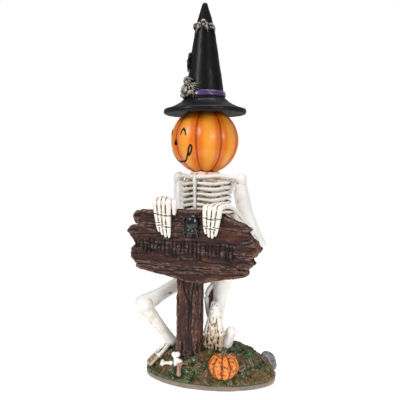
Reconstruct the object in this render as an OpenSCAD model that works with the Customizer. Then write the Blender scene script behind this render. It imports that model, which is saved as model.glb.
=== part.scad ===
// Skeleton figure with a pumpkin head and a witch hat, leaning on a plank sign, on an oval mossy base.
// Cast and hand-painted resin. Millimetres, +Z up. The origin is on the underside of the base, at its
// centre, and the front of the sign faces -Y. "Left" and "right" are the figure's own.

/* [Base] */
// Length of the oval base
base_length = 106; // [96:1:128]
// Depth of the oval base, front to back
base_depth = 76; // [70:1:92]
// Height of the top of the mossy mound
mound_height = 28; // [24:0.5:33]
// Height of the bare rim under the moss
rim_height = 4; // [3:0.5:5]

/* [Sign] */
// Length of the plank sign
sign_length = 106.8; // [90:0.5:128]
// Height of the plank sign
sign_height = 54; // [46:0.5:64]
// Thickness of the planks
sign_thickness = 9; // [7.5:0.5:10.5]
// Width of the post
post_width = 21; // [17.5:0.5:25]
// Depth of the post, front to back
post_depth = 13; // [10.5:0.5:15]

/* [Figure] */
// Radius of the pumpkin head
head_radius = 26.6; // [22:0.2:31]
// Half of the rib cage's width
chest_half_width = 20.6; // [17.5:0.2:22]
// Half of the rib cage's depth
chest_half_depth = 16; // [13.5:0.2:18]
// Number of ribs on each side
rib_count = 6; // [5:1:6]
// Radius of the arm bones' shafts at the shoulder
arm_radius = 5; // [4:0.1:5.6]
// Radius of the thigh bones' shafts
thigh_radius = 5.8; // [4.8:0.1:6.6]
// Radius of a finger bone
finger_radius = 1.75; // [1.4:0.05:1.9]

/* [Hat] */
// Radius of the hat's brim
brim_radius = 32.5; // [28:0.5:39]
// Height of the hat's crown above its brim
crown_height = 75.3; // [62:0.5:90]
// Height of the purple band
band_height = 5; // [4:0.5:6]

/* [Hidden] */
$fn = 48;

bone_white = "ivory";
moss_green = "darkolivegreen";
wood_brown = "saddlebrown";
hat_black = "#202024";
pumpkin_orange = "darkorange";
pin_clearance = 0.05;
pin_radius = 2;
big = 200;

// Base
pad_recess = 0.6;
pad_height = 1;
pad_inset = 4;

// Sign: the origin of the planks' outlines is the middle of the sign
sign_front = -34;
sign_back = sign_front + sign_thickness;
sign_mid = [-2.6, 105];
sign_top = sign_mid.y + sign_height / 2;
post_x = -9;
post_top = sign_mid.y + sign_height / 4;

// Torso: the chest is turned a little to the figure's right
chest = [-5.9, 6.2];
chest_turn = -10;
chest_bottom = 127;
chest_top = 155;
rib_thickness = 2.2;
rib_pitch = 4.15;
first_rib = 130;
core_inset = 3;
core_half_width = chest_half_width - core_inset;
core_half_depth = chest_half_depth - core_inset;

// Joints of the figure
shoulder_left = [24.7, 2.4, 154.5];
shoulder_right = [-32.1, 11.8, 156];
elbow_left = [38.4, 9.5, 105];
elbow_right = [-31.5, -1, 100];
wrist_left = [25.9, sign_back + 6, 130];
wrist_right = [-28.5, sign_back + 6, 131.5];
shoulder_radius = arm_radius + 0.5;
elbow_radius = arm_radius + 0.3;
wrist_radius = 4.2;
pelvis_mid = [-16.5, 18.5, 82];
hip_left = [-8, 16.5, 76];
hip_right = [-25, 19.5, 74];
hip_radius = thigh_radius + 0.8;
knee_left = [10, 1.9, 78];
knee_right = [-48.5, -19.6, 55.5];
knee_radius = thigh_radius + 1.2;
ankle_left = [5.8, -1, 38];
ankle_right = [-29, -9.6, 26.5];
ankle_radius = 4.6;

// Head and hat
head = [-6.7, 5.9];
head_z = chest_top + 2.9 + head_radius;
groove_first = -38;
groove_count = 8;
groove_radius = 1.5;
brim_z = head_z + 0.86 * head_radius;
brim_lip = 2.4;
crown_base = brim_z + 9.6;
crown_radius = brim_radius / 2;

// ---- helpers ----

// A tapered rod from p to q
module rod(p, q, r1, r2) {
    d = q - p;
    translate(p)
        rotate([0, acos(d.z / norm(d)), atan2(d.y, d.x)])
            cylinder(h = norm(d), r1 = r1, r2 = r2);
}

module ball(p, r) {
    translate(p) sphere(r);
}

// Places children drawn along +Z on the line from p to q
module along(p, q) {
    d = q - p;
    translate(p) rotate([0, acos(d.z / norm(d)), atan2(d.y, d.x)]) children();
}

// A long bone, turned about the line from p to q: round ends and a tapered shaft
module long_bone(p, q, end_p, shaft_p, shaft_q, end_q) {
    h = norm(q - p);
    along(p, q) rotate_extrude() intersection() {
        union() {
            polygon([[0, 0], [shaft_p, 0], [shaft_q, h], [0, h]]);
            circle(end_p);
            translate([0, h]) circle(end_q);
        }
        translate([0, -big]) square(2 * big);
    }
}

// Points of an ellipse
function oval(a, b, n = 60) = [for (i = [0:n - 1]) [a * cos(360 * i / n), b * sin(360 * i / n)]];

// The plane of a front view: draws in X and Z, and fills from y0 back to y1
module front_slab(y0, y1) {
    translate([0, y1, 0]) rotate([90, 0, 0]) linear_extrude(y1 - y0) children();
}

// The full mound, from which everything that stands on it is cut
module mound_body() {
    scale([base_length / 20, base_depth / 20, mound_height / 10]) sphere(10, $fn = 160);
}

// Turns a shape drawn about the chest's own axis to its place
module in_chest() {
    translate([chest.x, chest.y, 0]) rotate(chest_turn) children();
}

module chest_oval(extra) {
    polygon(oval(core_half_width + extra, core_half_depth + extra));
}

module core_body() {
    in_chest() translate([0, 0, chest_bottom]) linear_extrude(chest_top - chest_bottom) chest_oval(0);
}

module sternum_block() {
    foot = chest_bottom + 4.5;
    in_chest() translate([-2.2, -chest_half_depth - 1, foot]) cube([4.4, 8, chest_top - foot]);
}

module spine_block() {
    in_chest() translate([0, chest_half_depth - 0.5, chest_bottom])
        cylinder(h = chest_top - chest_bottom, r = 3.2);
}

module head_ball(extra = 0) {
    ball([head.x, head.y, head_z], head_radius + extra);
}

module head_pin(z0, z1, extra) {
    translate([head.x, head.y, z0]) cylinder(h = z1 - z0, r = pin_radius + extra);
}

// ---- base ----

module felt_pad() {
    color("dimgray")
        linear_extrude(pad_height) polygon(oval(base_length / 2 - pad_inset, base_depth / 2 - pad_inset));
}

module base_rim() {
    color("tan") difference() {
        translate([0, 0, pad_height - pad_recess]) linear_extrude(rim_height - pad_height + pad_recess)
            polygon(oval(base_length / 2 - 0.5, base_depth / 2 - 0.4));
        linear_extrude(pad_height) polygon(oval(base_length / 2 - pad_inset, base_depth / 2 - pad_inset));
    }
}

module moss_mound() {
    color(moss_green) difference() {
        mound_body();
        translate([-big / 2, -big / 2, rim_height - big]) cube(big);
        post_pin_body(pin_clearance);
    }
}

module grey_stone() {
    color("slategray") difference() {
        translate([41, 19, 9.8]) rotate([0, 0, 25]) scale([0.9, 1.05, 1.1]) sphere(7.8, $fn = 96);
        mound_body();
    }
}

leaf_places = [[-25, -20], [-7, -30], [3, -31], [34, -21], [30, 8], [22, 24], [-30, 14], [-45, -4]];

function mound_z(x, y) =
    mound_height * sqrt(1 - pow(2 * x / base_length, 2) - pow(2 * y / base_depth, 2));

module fallen_leaves() {
    color("sienna") difference() {
        for (i = [0:len(leaf_places) - 1]) {
            p = leaf_places[i];
            translate([p.x, p.y, mound_z(p.x, p.y)]) rotate([0, 0, 50 * i]) rotate([25, 20, 0])
                translate([0, 0, -1]) linear_extrude(2) polygon(oval(3.6, 2, 16));
        }
        mound_body();
    }
}

module twig() {
    color("peru") difference() {
        rod([-13, -34, 13], [-8, -38, 9], 1.5, 1.1);
        mound_body();
    }
}

module ground_bone_stub() {
    color(bone_white) difference() {
        union() {
            rod([-15, -29.5, 13], [-16, -29.2, 21], 2, 1.7);
            ball([-17.4, -28.8, 22], 2.1);
            ball([-14.2, -29.4, 22.4], 2.1);
            rod([-15.4, -29.6, 18.5], [-10.4, -31.4, 17], 1.6, 1.9);
        }
        mound_body();
    }
}

module ground_bone_lying() {
    color(bone_white) difference() {
        union() {
            rod([-28, -26.5, 13.4], [-20, -29.2, 14.9], 1.3, 1.3);
            ball([-28.6, -25.2, 13.8], 1.8);
            ball([-28, -27.9, 13], 1.8);
            ball([-19.8, -29.2, 15], 1.8);
        }
        mound_body();
    }
}

module ground_bone_upright() {
    color(bone_white) difference() {
        union() {
            rod([16, -7.5, 22], [19.5, -4, 36], 3.4, 3);
            ball([17.6, -5.4, 37.6], 4.1);
            ball([22.2, -3.2, 36.6], 4.1);
        }
        mound_body();
        ball(ankle_left, ankle_radius);
        left_foot_body();
    }
}

small_pumpkin_at = [21.8, -26.5, 17.5];
small_pumpkin_core = 2.7;
small_pumpkin_lobe = 8.5;

small_pumpkin_top = small_pumpkin_lobe * sin(70);

// A squat round body with flat ends
module small_pumpkin_body() {
    translate(small_pumpkin_at) rotate_extrude() polygon(concat(
        [[0, -small_pumpkin_top]],
        [for (a = [-70:17.5:70])
            [small_pumpkin_core + small_pumpkin_lobe * cos(a), small_pumpkin_lobe * sin(a)]],
        [[0, small_pumpkin_top]]
    ));
}

module small_pumpkin() {
    color(pumpkin_orange) difference() {
        small_pumpkin_body();
        mound_body();
    }
}

module small_pumpkin_stem() {
    color("darkolivegreen") translate(small_pumpkin_at + [0, 0, small_pumpkin_top])
        cylinder(h = 2.6, r1 = 2, r2 = 1.5);
}

// ---- sign ----

// Outlines of the planks as fractions of half the sign's length and height
seam_top = [[-0.85, 0.57], [-0.2, 0.54], [0.3, 0.52], [0.83, 0.43]];
seam_mid = [[-0.86, 0.02], [-0.1, -0.05], [0.4, -0.15], [0.93, -0.2]];
seam_low = [[-0.84, -0.55], [-0.3, -0.57], [0.2, -0.6], [0.83, -0.54]];
outline_top = [
    [0.87, 0.5], [0.78, 0.63], [0.59, 0.77], [0.42, 0.92], [0.25, 1], [-0.3, 1], [-0.81, 0.96], [-0.9, 0.85]
];
outline_upper_left = [[-0.89, 0.13], [-1, 0.38], [-0.94, 0.51]];
outline_upper_right = [[0.93, 0.2], [0.98, 0.1], [1, -0.02]];
outline_lower_left = [[-0.9, -0.44], [-0.94, -0.24], [-0.91, -0.08]];
outline_lower_right = [[0.88, -0.26], [0.93, -0.4]];
outline_bottom = [
    [-0.84, -0.63], [-0.77, -0.71], [-0.57, -0.78], [-0.22, -0.9], [0, -1], [0.23, -0.98],
    [0.36, -0.9], [0.64, -0.82], [0.82, -0.73]
];

function backward(list) = [for (i = [len(list) - 1:-1:0]) list[i]];

module plank(points) {
    front_slab(sign_front, sign_back)
        polygon([for (p = points) [sign_mid.x + p.x * sign_length / 2, sign_mid.y + p.y * sign_height / 2]]);
}

module top_outline() { plank(concat(seam_top, outline_top)); }

module upper_outline() {
    plank(concat(seam_mid, backward(outline_upper_right), backward(seam_top), backward(outline_upper_left)));
}

module sign_plank_top() {
    color(wood_brown) top_outline();
}

module sign_plank_upper() {
    color(wood_brown) upper_outline();
}

module sign_plank_lower() {
    color(wood_brown) plank(concat(
        seam_low, backward(outline_lower_right), backward(seam_mid), backward(outline_lower_left)
    ));
}

module sign_plank_bottom() {
    color(wood_brown) plank(concat(backward(seam_low), outline_bottom));
}

module sign_body() {
    top_outline();
    upper_outline();
}

post_outline = [
    [-0.5, 0.1], [-0.46, 0.42], [-0.3, 0.5], [-0.05, 0.5], [0.2, 0.5], [0.42, 0.44],
    [0.5, 0.15], [0.47, -0.3], [0.36, -0.5], [-0.38, -0.5], [-0.48, -0.25]
];

module sign_post() {
    color(wood_brown) difference() {
        translate([post_x, sign_back + post_depth / 2, 5])
            linear_extrude(post_top - 5)
                polygon([for (p = post_outline) [p.x * post_width, p.y * post_depth]]);
        mound_body();
        post_pin_body(pin_clearance);
    }
}

module post_pin_body(extra) {
    translate([post_x, sign_back + post_depth / 2, rim_height + 2]) cylinder(h = 36, r = pin_radius + extra);
}

module post_pin() {
    color("silver") post_pin_body(0);
}

module spider_body() {
    color(hat_black) difference() {
        union() {
            ball([0, sign_front + 0.6, 124], 5.4);
            ball([-1.8, sign_front - 0.2, 116.6], 3);
        }
        sign_body();
        translate([-big / 2, sign_front, 0]) cube(big);
    }
}

// ---- torso ----

module pelvis() {
    color(bone_white) difference() {
        union() {
            intersection() {
                translate(pelvis_mid) difference() {
                    sphere(16.5);
                    sphere(12.8);
                }
                translate([pelvis_mid.x - 20, pelvis_mid.y - 20, pelvis_mid.z - 8]) cube([40, 40, 13]);
            }
            rod(pelvis_mid + [0, 13, -8], pelvis_mid + [0, 11, 6], 3, 5);
            translate([pelvis_mid.x - 4.6, pelvis_mid.y + 1, pelvis_mid.z + 2]) cube([9.2, 13, 5]);
        }
        translate([pelvis_mid.x - 6, pelvis_mid.y - 20, pelvis_mid.z - 3]) cube([12, 12, 20]);
        ball(hip_left, hip_radius);
        ball(hip_right, hip_radius);
        rod(hip_left, knee_left, thigh_radius, thigh_radius);
        rod(hip_right, knee_right, thigh_radius, thigh_radius);
    }
}

lumbar_low = [pelvis_mid.x, pelvis_mid.y + 3.5, pelvis_mid.z + 7];
lumbar_high = [chest.x, chest.y + 5, chest_bottom];

vertebra_count = 5;

// The vertebrae are wide rings on one column
module lumbar_spine() {
    h = norm(lumbar_high - lumbar_low) * 1.06;
    pitch = h / vertebra_count;
    color(bone_white) difference() {
        along(lumbar_low - [0, 0, 1], lumbar_high) rotate_extrude() polygon(concat(
            [[0, 0]],
            [for (i = [0:vertebra_count - 1], p = [[2.8, 0], [2.8, 0.12], [4.3, 0.22], [4.3, 0.8], [2.8, 0.9]])
                [p.x, (i + p.y) * pitch]],
            [[2.8, h], [0, h]]
        ));
        translate([-big / 2, -big / 2, chest_bottom]) cube(big);
        translate([-big / 2, -big / 2, lumbar_low.z - big]) cube(big);
    }
}

module thoracic_spine() {
    color(bone_white) difference() {
        union() {
            spine_block();
            for (i = [0:rib_count - 1])
                in_chest() translate([0, chest_half_depth + 2.4, first_rib + rib_pitch * i]) sphere(1.6);
        }
        core_body();
    }
}

module chest_core() {
    color("tan") difference() {
        core_body();
        head_pin(chest_top - 14, chest_top + 1, pin_clearance);
    }
}

module sternum() {
    color(bone_white) difference() {
        sternum_block();
        core_body();
    }
}

// Half of the rings, on side 1 (left) or -1 (right)
module ribs(side) {
    color(bone_white) difference() {
        in_chest() intersection() {
            for (i = [0:rib_count - 1])
                translate([0, 0, first_rib + rib_pitch * i - rib_thickness / 2])
                    linear_extrude(rib_thickness) difference() {
                        chest_oval(core_inset);
                        chest_oval(0);
                    }
            translate([side > 0 ? 0 : -big, -big / 2, 0]) cube(big);
        }
        sternum_block();
        spine_block();
    }
}

module ribs_left() { ribs(1); }

module ribs_right() { ribs(-1); }

notch = [chest.x - 2.8, chest.y - core_half_depth - 0.4, chest_top + 2.2];
collar_bend_left = [9, -6, notch.z];
collar_bend_right = [-21, -0.5, notch.z];

module collar_bone(side, bend, shoulder) {
    color(bone_white) difference() {
        long_bone(bend, shoulder, 2.2, 1.8, 1.7, 1.8);
        ball(shoulder, shoulder_radius);
        collar_body();
    }
    color(bone_white) difference() {
        long_bone(notch + [side * 2.2, 0, 0], bend, 1.8, 1.6, 1.6, 1.7);
        ball(bend, 2.2);
        collar_body();
    }
}

module collar_bone_left() { collar_bone(1, collar_bend_left, shoulder_left); }

module collar_bone_right() { collar_bone(-1, collar_bend_right, shoulder_right); }

blade_outline = [[5, -1], [17, 1], [18, -4], [13, -12], [9, -16], [6, -10]];

// A flat triangular blade behind the ribs, and the ridge that runs from it out to the shoulder
module shoulder_blade(side, shoulder) {
    ridge = [
        chest.x + side * 14 * cos(chest_turn) - core_half_depth * sin(chest_turn),
        chest.y + side * 14 * sin(chest_turn) + core_half_depth * cos(chest_turn),
        chest_top - 3
    ];
    color(bone_white) difference() {
        union() {
            in_chest() translate([0, 0, chest_top - 1]) front_slab(core_half_depth - 4, chest_half_depth + 1.6)
                polygon([for (p = blade_outline) [side * p.x, p.y]]);
            rod(ridge, shoulder, 1.9, 1.9);
        }
        in_chest() translate([0, 0, chest_bottom])
            linear_extrude(chest_top - chest_bottom + 5) chest_oval(core_inset);
        spine_block();
        ball(shoulder, shoulder_radius);
        collar_body();
    }
}

module shoulder_blade_left() { shoulder_blade(1, shoulder_left); }

module shoulder_blade_right() { shoulder_blade(-1, shoulder_right); }

module collar_body() {
    translate([head.x, head.y, chest_top]) cylinder(h = 9, r1 = 13.2, r2 = 9);
}

module neck_collar() {
    color("peru") difference() {
        collar_body();
        head_ball(0.1);
        head_pin(chest_top - 1, chest_top + 12, pin_clearance);
    }
}

module neck_pin() {
    color("silver") head_pin(chest_top - 13, chest_top + 14, 0);
}

// ---- arms ----

module humerus(shoulder, elbow) {
    color(bone_white) long_bone(shoulder, elbow, shoulder_radius, arm_radius, arm_radius - 0.8, elbow_radius);
}

module humerus_left() { humerus(shoulder_left, elbow_left); }

module humerus_right() { humerus(shoulder_right, elbow_right); }

module forearm_left() {
    color(bone_white) difference() {
        long_bone(elbow_left, wrist_left, arm_radius - 0.4, arm_radius - 0.6, 3.4, wrist_radius);
        humerus_left();
    }
}

module forearm_right() {
    color(bone_white) difference() {
        long_bone(elbow_right, wrist_right, arm_radius - 0.4, arm_radius - 0.6, 3.4, wrist_radius);
        humerus_right();
    }
}

// Fingers lie on the front of the sign, so their joints share one depth
finger_y = sign_front - finger_radius - 0.4;
knuckle_y = sign_front - finger_radius - 0.4;
knuckle_pitch = 4.2;
knuckles_left = [for (i = [0:3]) [12.8 + knuckle_pitch * i, knuckle_y, sign_top + 0.9]];
tips_left = [[9.8, finger_y, 115.5], [13.6, finger_y, 113], [17.4, finger_y, 112.6], [21.2, finger_y, 115]];
knuckles_right = [for (i = [0:3]) [-30 + knuckle_pitch * i, knuckle_y, sign_top + 3.6]];
tips_right = [[-27.6, finger_y, 116], [-23.8, finger_y, 113.4], [-20, finger_y, 111.6], [-16.2, finger_y, 111.2]];
knuckle_radius = finger_radius + 0.25;

palm_thickness = 4.6;

// Flat palm from the wrist to the row of knuckles, over the sign's top edge
module palm_plate(wrist, knuckles) {
    translate([0, 0, knuckles[0].z - palm_thickness / 2]) linear_extrude(palm_thickness) polygon([
        [wrist.x - 3.6, wrist.y + 1], [wrist.x + 3.6, wrist.y + 1],
        [knuckles[3].x + knuckle_radius, knuckle_y + 3], [knuckles[3].x + knuckle_radius, knuckle_y - 1.2],
        [knuckles[3].x + 1, knuckle_y - knuckle_radius], [knuckles[0].x - 1, knuckle_y - knuckle_radius],
        [knuckles[0].x - knuckle_radius, knuckle_y - 1.2], [knuckles[0].x - knuckle_radius, knuckle_y + 3]
    ]);
}

module palm(wrist, knuckles) {
    color(bone_white) difference() {
        palm_plate(wrist, knuckles);
        ball(wrist, wrist_radius);
        sign_body();
    }
}

module palm_left() { palm(wrist_left, knuckles_left); }

module palm_right() { palm(wrist_right, knuckles_right); }

module thumb(base, mid, tip) {
    rod(base, mid, 1.9, 1.8);
    ball(mid, 2.1);
    rod(mid, tip, 1.7, 1.3);
}

// The left thumb hangs behind the sign
module thumb_left() {
    color(bone_white) difference() {
        thumb(wrist_left + [-1, 0, -1], [17.5, sign_back + 2.6, 124], [13, sign_back + 2.3, 118]);
        ball(wrist_left, wrist_radius);
        palm_plate(wrist_left, knuckles_left);
    }
}

// The right thumb comes round the side of the palm to the front
module thumb_right() {
    bend = [knuckles_right[3].x + 4.7, knuckle_y - 0.1, knuckles_right[3].z - 0.6];
    color(bone_white) difference() {
        thumb(bend + [-6, 9, 0.8], bend, bend + [0.2, 0, -8]);
        palm_plate(wrist_right, knuckles_right);
    }
}

// Each finger hangs from under the palm, wide at its joints and narrow at its tip.
// Its outline gives shares of its length and of finger_radius.
finger_profile = [
    [0, 0.95], [0.28, 0.82], [0.36, 1.05], [0.44, 0.82], [0.64, 0.74], [0.71, 0.94], [0.78, 0.7], [0.94, 0.56],
    [1, 0.25]
];

module finger(k, tip) {
    top = k.z - palm_thickness / 2;
    function at(f, side) = [
        k.x + (tip.x - k.x) * f[0] + side * f[1] * finger_radius,
        top + (tip.z - top) * f[0]
    ];
    last = len(finger_profile) - 1;
    front_slab(sign_front - 2 * finger_radius, sign_front) polygon(concat(
        [for (i = [0:last]) at(finger_profile[i], 1)],
        [for (i = [last:-1:0]) at(finger_profile[i], -1)]
    ));
}

module fingers(knuckles, tips) {
    color(bone_white) for (i = [0:3]) finger(knuckles[i], tips[i]);
}

module fingers_left() { fingers(knuckles_left, tips_left); }

module fingers_right() { fingers(knuckles_right, tips_right); }

// ---- legs ----

module femur(hip, knee) {
    color(bone_white) long_bone(hip, knee, hip_radius, thigh_radius, thigh_radius, knee_radius);
}

module femur_left() { femur(hip_left, knee_left); }

module femur_right() { femur(hip_right, knee_right); }

module shin_left() {
    color(bone_white) difference() {
        long_bone(knee_left, ankle_left, 6.2, 6.1, 3.9, ankle_radius);
        femur_left();
    }
}

module shin_right() {
    color(bone_white) difference() {
        long_bone(knee_right, ankle_right, 5.5, 5.4, 3.9, ankle_radius);
        femur_right();
        mound_body();
    }
}

fibula_points = [knee_left + [-5.5, -1, -4], [-2.5, -1.7, 65], [-2, -1.4, 51], ankle_left + [-2.5, -0.4, 1.5]];

module fibula_left() {
    color(bone_white) difference() {
        union() {
            rod(fibula_points[0], fibula_points[1], 1.5, 1.4);
            ball(fibula_points[1], 1.8);
            rod(fibula_points[1], fibula_points[2], 1.4, 1.4);
            ball(fibula_points[2], 1.8);
            rod(fibula_points[2], fibula_points[3], 1.4, 1.5);
        }
        femur_left();
        shin_left();
        ball(ankle_left, ankle_radius);
    }
}

// The left foot hangs down in front of its ankle, on tiptoe. Its outline is in X and Z.
foot_left_outline = [
    [2.6, 36], [14.4, 36], [13.6, 45], [11.8, 54], [10, 57.6], [8, 58.6], [6, 57.6], [4.6, 54], [3.4, 45]
];
foot_left_front = -14.4;
foot_left_back = -5.2;
toe_count = 5;
toe_left_top = foot_left_outline[0][1];
toe_left_x = 8.5;

// A row of toes that grows up the Y axis from its root, with a notch between each two
module toe_row(root, pitch, length) {
    half = pitch / 2;
    toe = [[-0.9, 0.25], [-0.8, 0.85], [-0.4, 1], [0.4, 1], [0.8, 0.85], [0.9, 0.25]];
    polygon(concat(
        [[-root, 0]],
        [for (i = [0:toe_count - 1]) for (p = toe)
            [(i - (toe_count - 1) / 2) * pitch + p[0] * half, p[1] * length]],
        [[root, 0]]
    ));
}

module left_foot_body() {
    front_slab(foot_left_front, foot_left_back) polygon(foot_left_outline);
}

module foot_left() {
    color(bone_white) difference() {
        left_foot_body();
        shin_left();
    }
}

module toes_left() {
    color("burlywood") difference() {
        front_slab(foot_left_front - 0.6, foot_left_front + 3.4) translate([toe_left_x, toe_left_top])
            mirror([0, 1]) toe_row(5.6, 2.5, 13.5);
        mound_body();
    }
}

// The right foot lies on the mound, its toes outwards
toe_right_base = [-37.5, -18.2, 16.5];
toe_right_tip = [-42.5, -22.6, 10.5];
foot_thickness = 4.4;

// A wedge that widens from the ankle to the toes
module right_foot_body() {
    h = norm(toe_right_base - ankle_right);
    along(ankle_right, toe_right_base) translate([-foot_thickness / 2, 0, 0]) rotate([90, 0, 90])
        linear_extrude(foot_thickness) polygon([[-2.8, 0], [2.8, 0], [5.4, h], [-5.4, h]]);
}

module foot_right() {
    color(bone_white) difference() {
        right_foot_body();
        shin_right();
        mound_body();
    }
}

module toes_right() {
    color("burlywood") difference() {
        along(toe_right_base, toe_right_tip) translate([-1.3, 0, 0]) rotate([90, 0, 90])
            linear_extrude(2.6) toe_row(5, 2.3, norm(toe_right_tip - toe_right_base));
        right_foot_body();
        mound_body();
    }
}

// ---- head and hat ----

module pumpkin_head() {
    color(pumpkin_orange) difference() {
        head_ball();
        for (i = [0:groove_count - 1])
            translate([head.x, head.y, head_z]) rotate([0, 0, groove_first - 90 + i * 360 / groove_count])
                rotate([90, 0, 0]) rotate_extrude(angle = 150, start = -75)
                    translate([head_radius + 0.55 * groove_radius, 0]) circle(groove_radius);
        head_pin(head_z - head_radius - 1, chest_top + 15, pin_clearance);
        head_pin(head_z + head_radius - 12, head_z + head_radius + 1, pin_clearance);
    }
}

module hat_pin() {
    color("silver") head_pin(head_z + head_radius - 11, head_z + head_radius + 8, 0);
}

module at_hat() {
    translate([head.x, head.y, 0]) children();
}

module hat_brim() {
    color(hat_black) difference() {
        at_hat() rotate_extrude() {
            polygon([
                [0, brim_z - 2], [brim_radius * 0.6, brim_z - 1.6],
                [brim_radius - brim_lip, brim_z - brim_lip + 0.3], [brim_radius - brim_lip, brim_z + brim_lip - 0.3], [brim_radius * 0.78, brim_z + 3.6],
                [brim_radius * 0.6, brim_z + 6.4], [crown_radius, crown_base], [0, crown_base]
            ]);
            translate([brim_radius - brim_lip, brim_z]) circle(brim_lip);
        }
        head_ball(0.1);
        head_pin(head_z, crown_base + 1, pin_clearance);
    }
}

// Radius of the crown at a fraction of its height
crown_outline = [
    [1, 0], [0.9, 0.085], [0.77, 0.3], [0.605, 0.53], [0.49, 0.7], [0.355, 0.82], [0.15, 0.97], [0.09, 1], [0, 1]
];
band_z = crown_base + 1.2;
band_depth = 1.7;

module crown_body() {
    at_hat() rotate_extrude()
        polygon(concat(
            [[0, crown_base]],
            [for (p = crown_outline) [p.x * crown_radius, crown_base + p.y * crown_height]]
        ));
}

module band_body() {
    at_hat() translate([0, 0, band_z]) cylinder(h = band_height, r1 = crown_radius + 0.7, r2 = crown_radius - 0.3);
}

module hat_crown() {
    color(hat_black) difference() {
        crown_body();
        difference() {
            band_body();
            at_hat() translate([0, 0, band_z - 1])
                cylinder(h = band_height + 2, r = crown_radius - 2 * band_depth);
        }
        head_pin(head_z, head_z + head_radius + 9, pin_clearance);
    }
}

module hat_band() {
    color("indigo") difference() {
        band_body();
        at_hat() translate([0, 0, band_z - 1]) cylinder(h = band_height + 2, r = crown_radius - 2 * band_depth);
    }
}

function crown_r(f) = crown_radius * lookup(f, [for (p = crown_outline) [p.y, p.x]]);

// Places children on the crown's surface: angle from the front towards the figure's left, fraction of height
module on_crown(angle, f, lift = 0) {
    at_hat() rotate(angle - 90) translate([crown_r(f) + lift, 0, crown_base + f * crown_height]) children();
}

// A small skull with a fan of three short feathers on each side
module winged_skull(angle, f, size, spread) {
    on_crown(angle, f, size * 0.3) sphere(size);
    on_crown(angle, f - 0.03, size * 0.55) sphere(size * 0.6);
    for (side = [-1, 1], i = [0:2])
        on_crown(angle + side * spread * (0.6 + 0.25 * i), f + 0.01 * (1 - i), 0) sphere(size * 0.62);
}

module hat_skulls_upper() {
    color("silver") difference() {
        union() {
            winged_skull(8, 0.765, 2.6, 62);
            on_crown(64, 0.745, 0.4) sphere(2);
        }
        crown_body();
    }
}

module hat_side_bump() {
    color(hat_black) difference() {
        union() {
            on_crown(-72, 0.46, 0.3) sphere(2.6);
            on_crown(-72, 0.4, 0.3) sphere(2.9);
            on_crown(-74, 0.34, 0) sphere(2.4);
        }
        crown_body();
    }
}

module hat_skulls_lower() {
    color("silver") difference() {
        union() {
            on_crown(-62, 0.19, 1) sphere(3.2);
            on_crown(-60, 0.13, 1.6) sphere(2.6);
            on_crown(-38, 0.12, 0.8) sphere(3);
            on_crown(-78, 0.08, 0.8) sphere(3);
            on_crown(-56, 0.06, 1.6) sphere(3.2);
            on_crown(-30, 0.05, 0.6) sphere(2.8);
            on_crown(-82, 0.02, 1) sphere(2.6);
            on_crown(-46, 0.0, 1.8) sphere(2.9);
        }
        crown_body();
        band_body();
        hat_brim_cutter();
    }
}

module hat_brim_cutter() {
    at_hat() translate([0, 0, crown_base - 20]) cylinder(h = 20, r = brim_radius);
}

felt_pad();
base_rim();
moss_mound();
grey_stone();
fallen_leaves();
twig();
ground_bone_stub();
ground_bone_lying();
ground_bone_upright();
small_pumpkin();
small_pumpkin_stem();
sign_post();
post_pin();
sign_plank_top();
sign_plank_upper();
sign_plank_lower();
sign_plank_bottom();
spider_body();
pelvis();
lumbar_spine();
thoracic_spine();
chest_core();
sternum();
ribs_left();
ribs_right();
collar_bone_left();
collar_bone_right();
shoulder_blade_left();
shoulder_blade_right();
neck_collar();
neck_pin();
humerus_left();
humerus_right();
forearm_left();
forearm_right();
palm_left();
palm_right();
fingers_left();
fingers_right();
thumb_left();
thumb_right();
femur_left();
femur_right();
shin_left();
shin_right();
fibula_left();
foot_left();
foot_right();
toes_left();
toes_right();
pumpkin_head();
hat_pin();
hat_brim();
hat_crown();
hat_band();
hat_skulls_upper();
hat_side_bump();
hat_skulls_lower();
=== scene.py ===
"""A halloween skeleton figure in hand-painted cast resin, dressed over its CAD frame. Lengths are in mm."""

import math

import bmesh
import bpy
import numpy as np
from mathutils import Euler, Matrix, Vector


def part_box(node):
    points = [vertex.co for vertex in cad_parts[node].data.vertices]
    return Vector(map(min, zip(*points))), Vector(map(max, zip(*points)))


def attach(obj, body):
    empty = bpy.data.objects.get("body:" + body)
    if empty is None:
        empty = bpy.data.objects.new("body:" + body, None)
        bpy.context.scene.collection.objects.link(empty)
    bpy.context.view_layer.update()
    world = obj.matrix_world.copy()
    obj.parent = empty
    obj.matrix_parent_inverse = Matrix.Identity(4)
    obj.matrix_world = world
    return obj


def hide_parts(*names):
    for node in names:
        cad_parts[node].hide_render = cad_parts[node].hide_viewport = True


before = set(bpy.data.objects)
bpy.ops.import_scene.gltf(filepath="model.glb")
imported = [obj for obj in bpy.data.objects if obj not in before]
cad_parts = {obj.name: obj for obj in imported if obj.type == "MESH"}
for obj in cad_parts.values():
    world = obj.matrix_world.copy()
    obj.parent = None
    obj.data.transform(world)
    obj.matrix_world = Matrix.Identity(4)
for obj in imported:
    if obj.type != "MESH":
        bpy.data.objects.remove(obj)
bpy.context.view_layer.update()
scene = bpy.context.scene
MM = 0.001


# ---- forms: points in mm and faces ----


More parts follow.
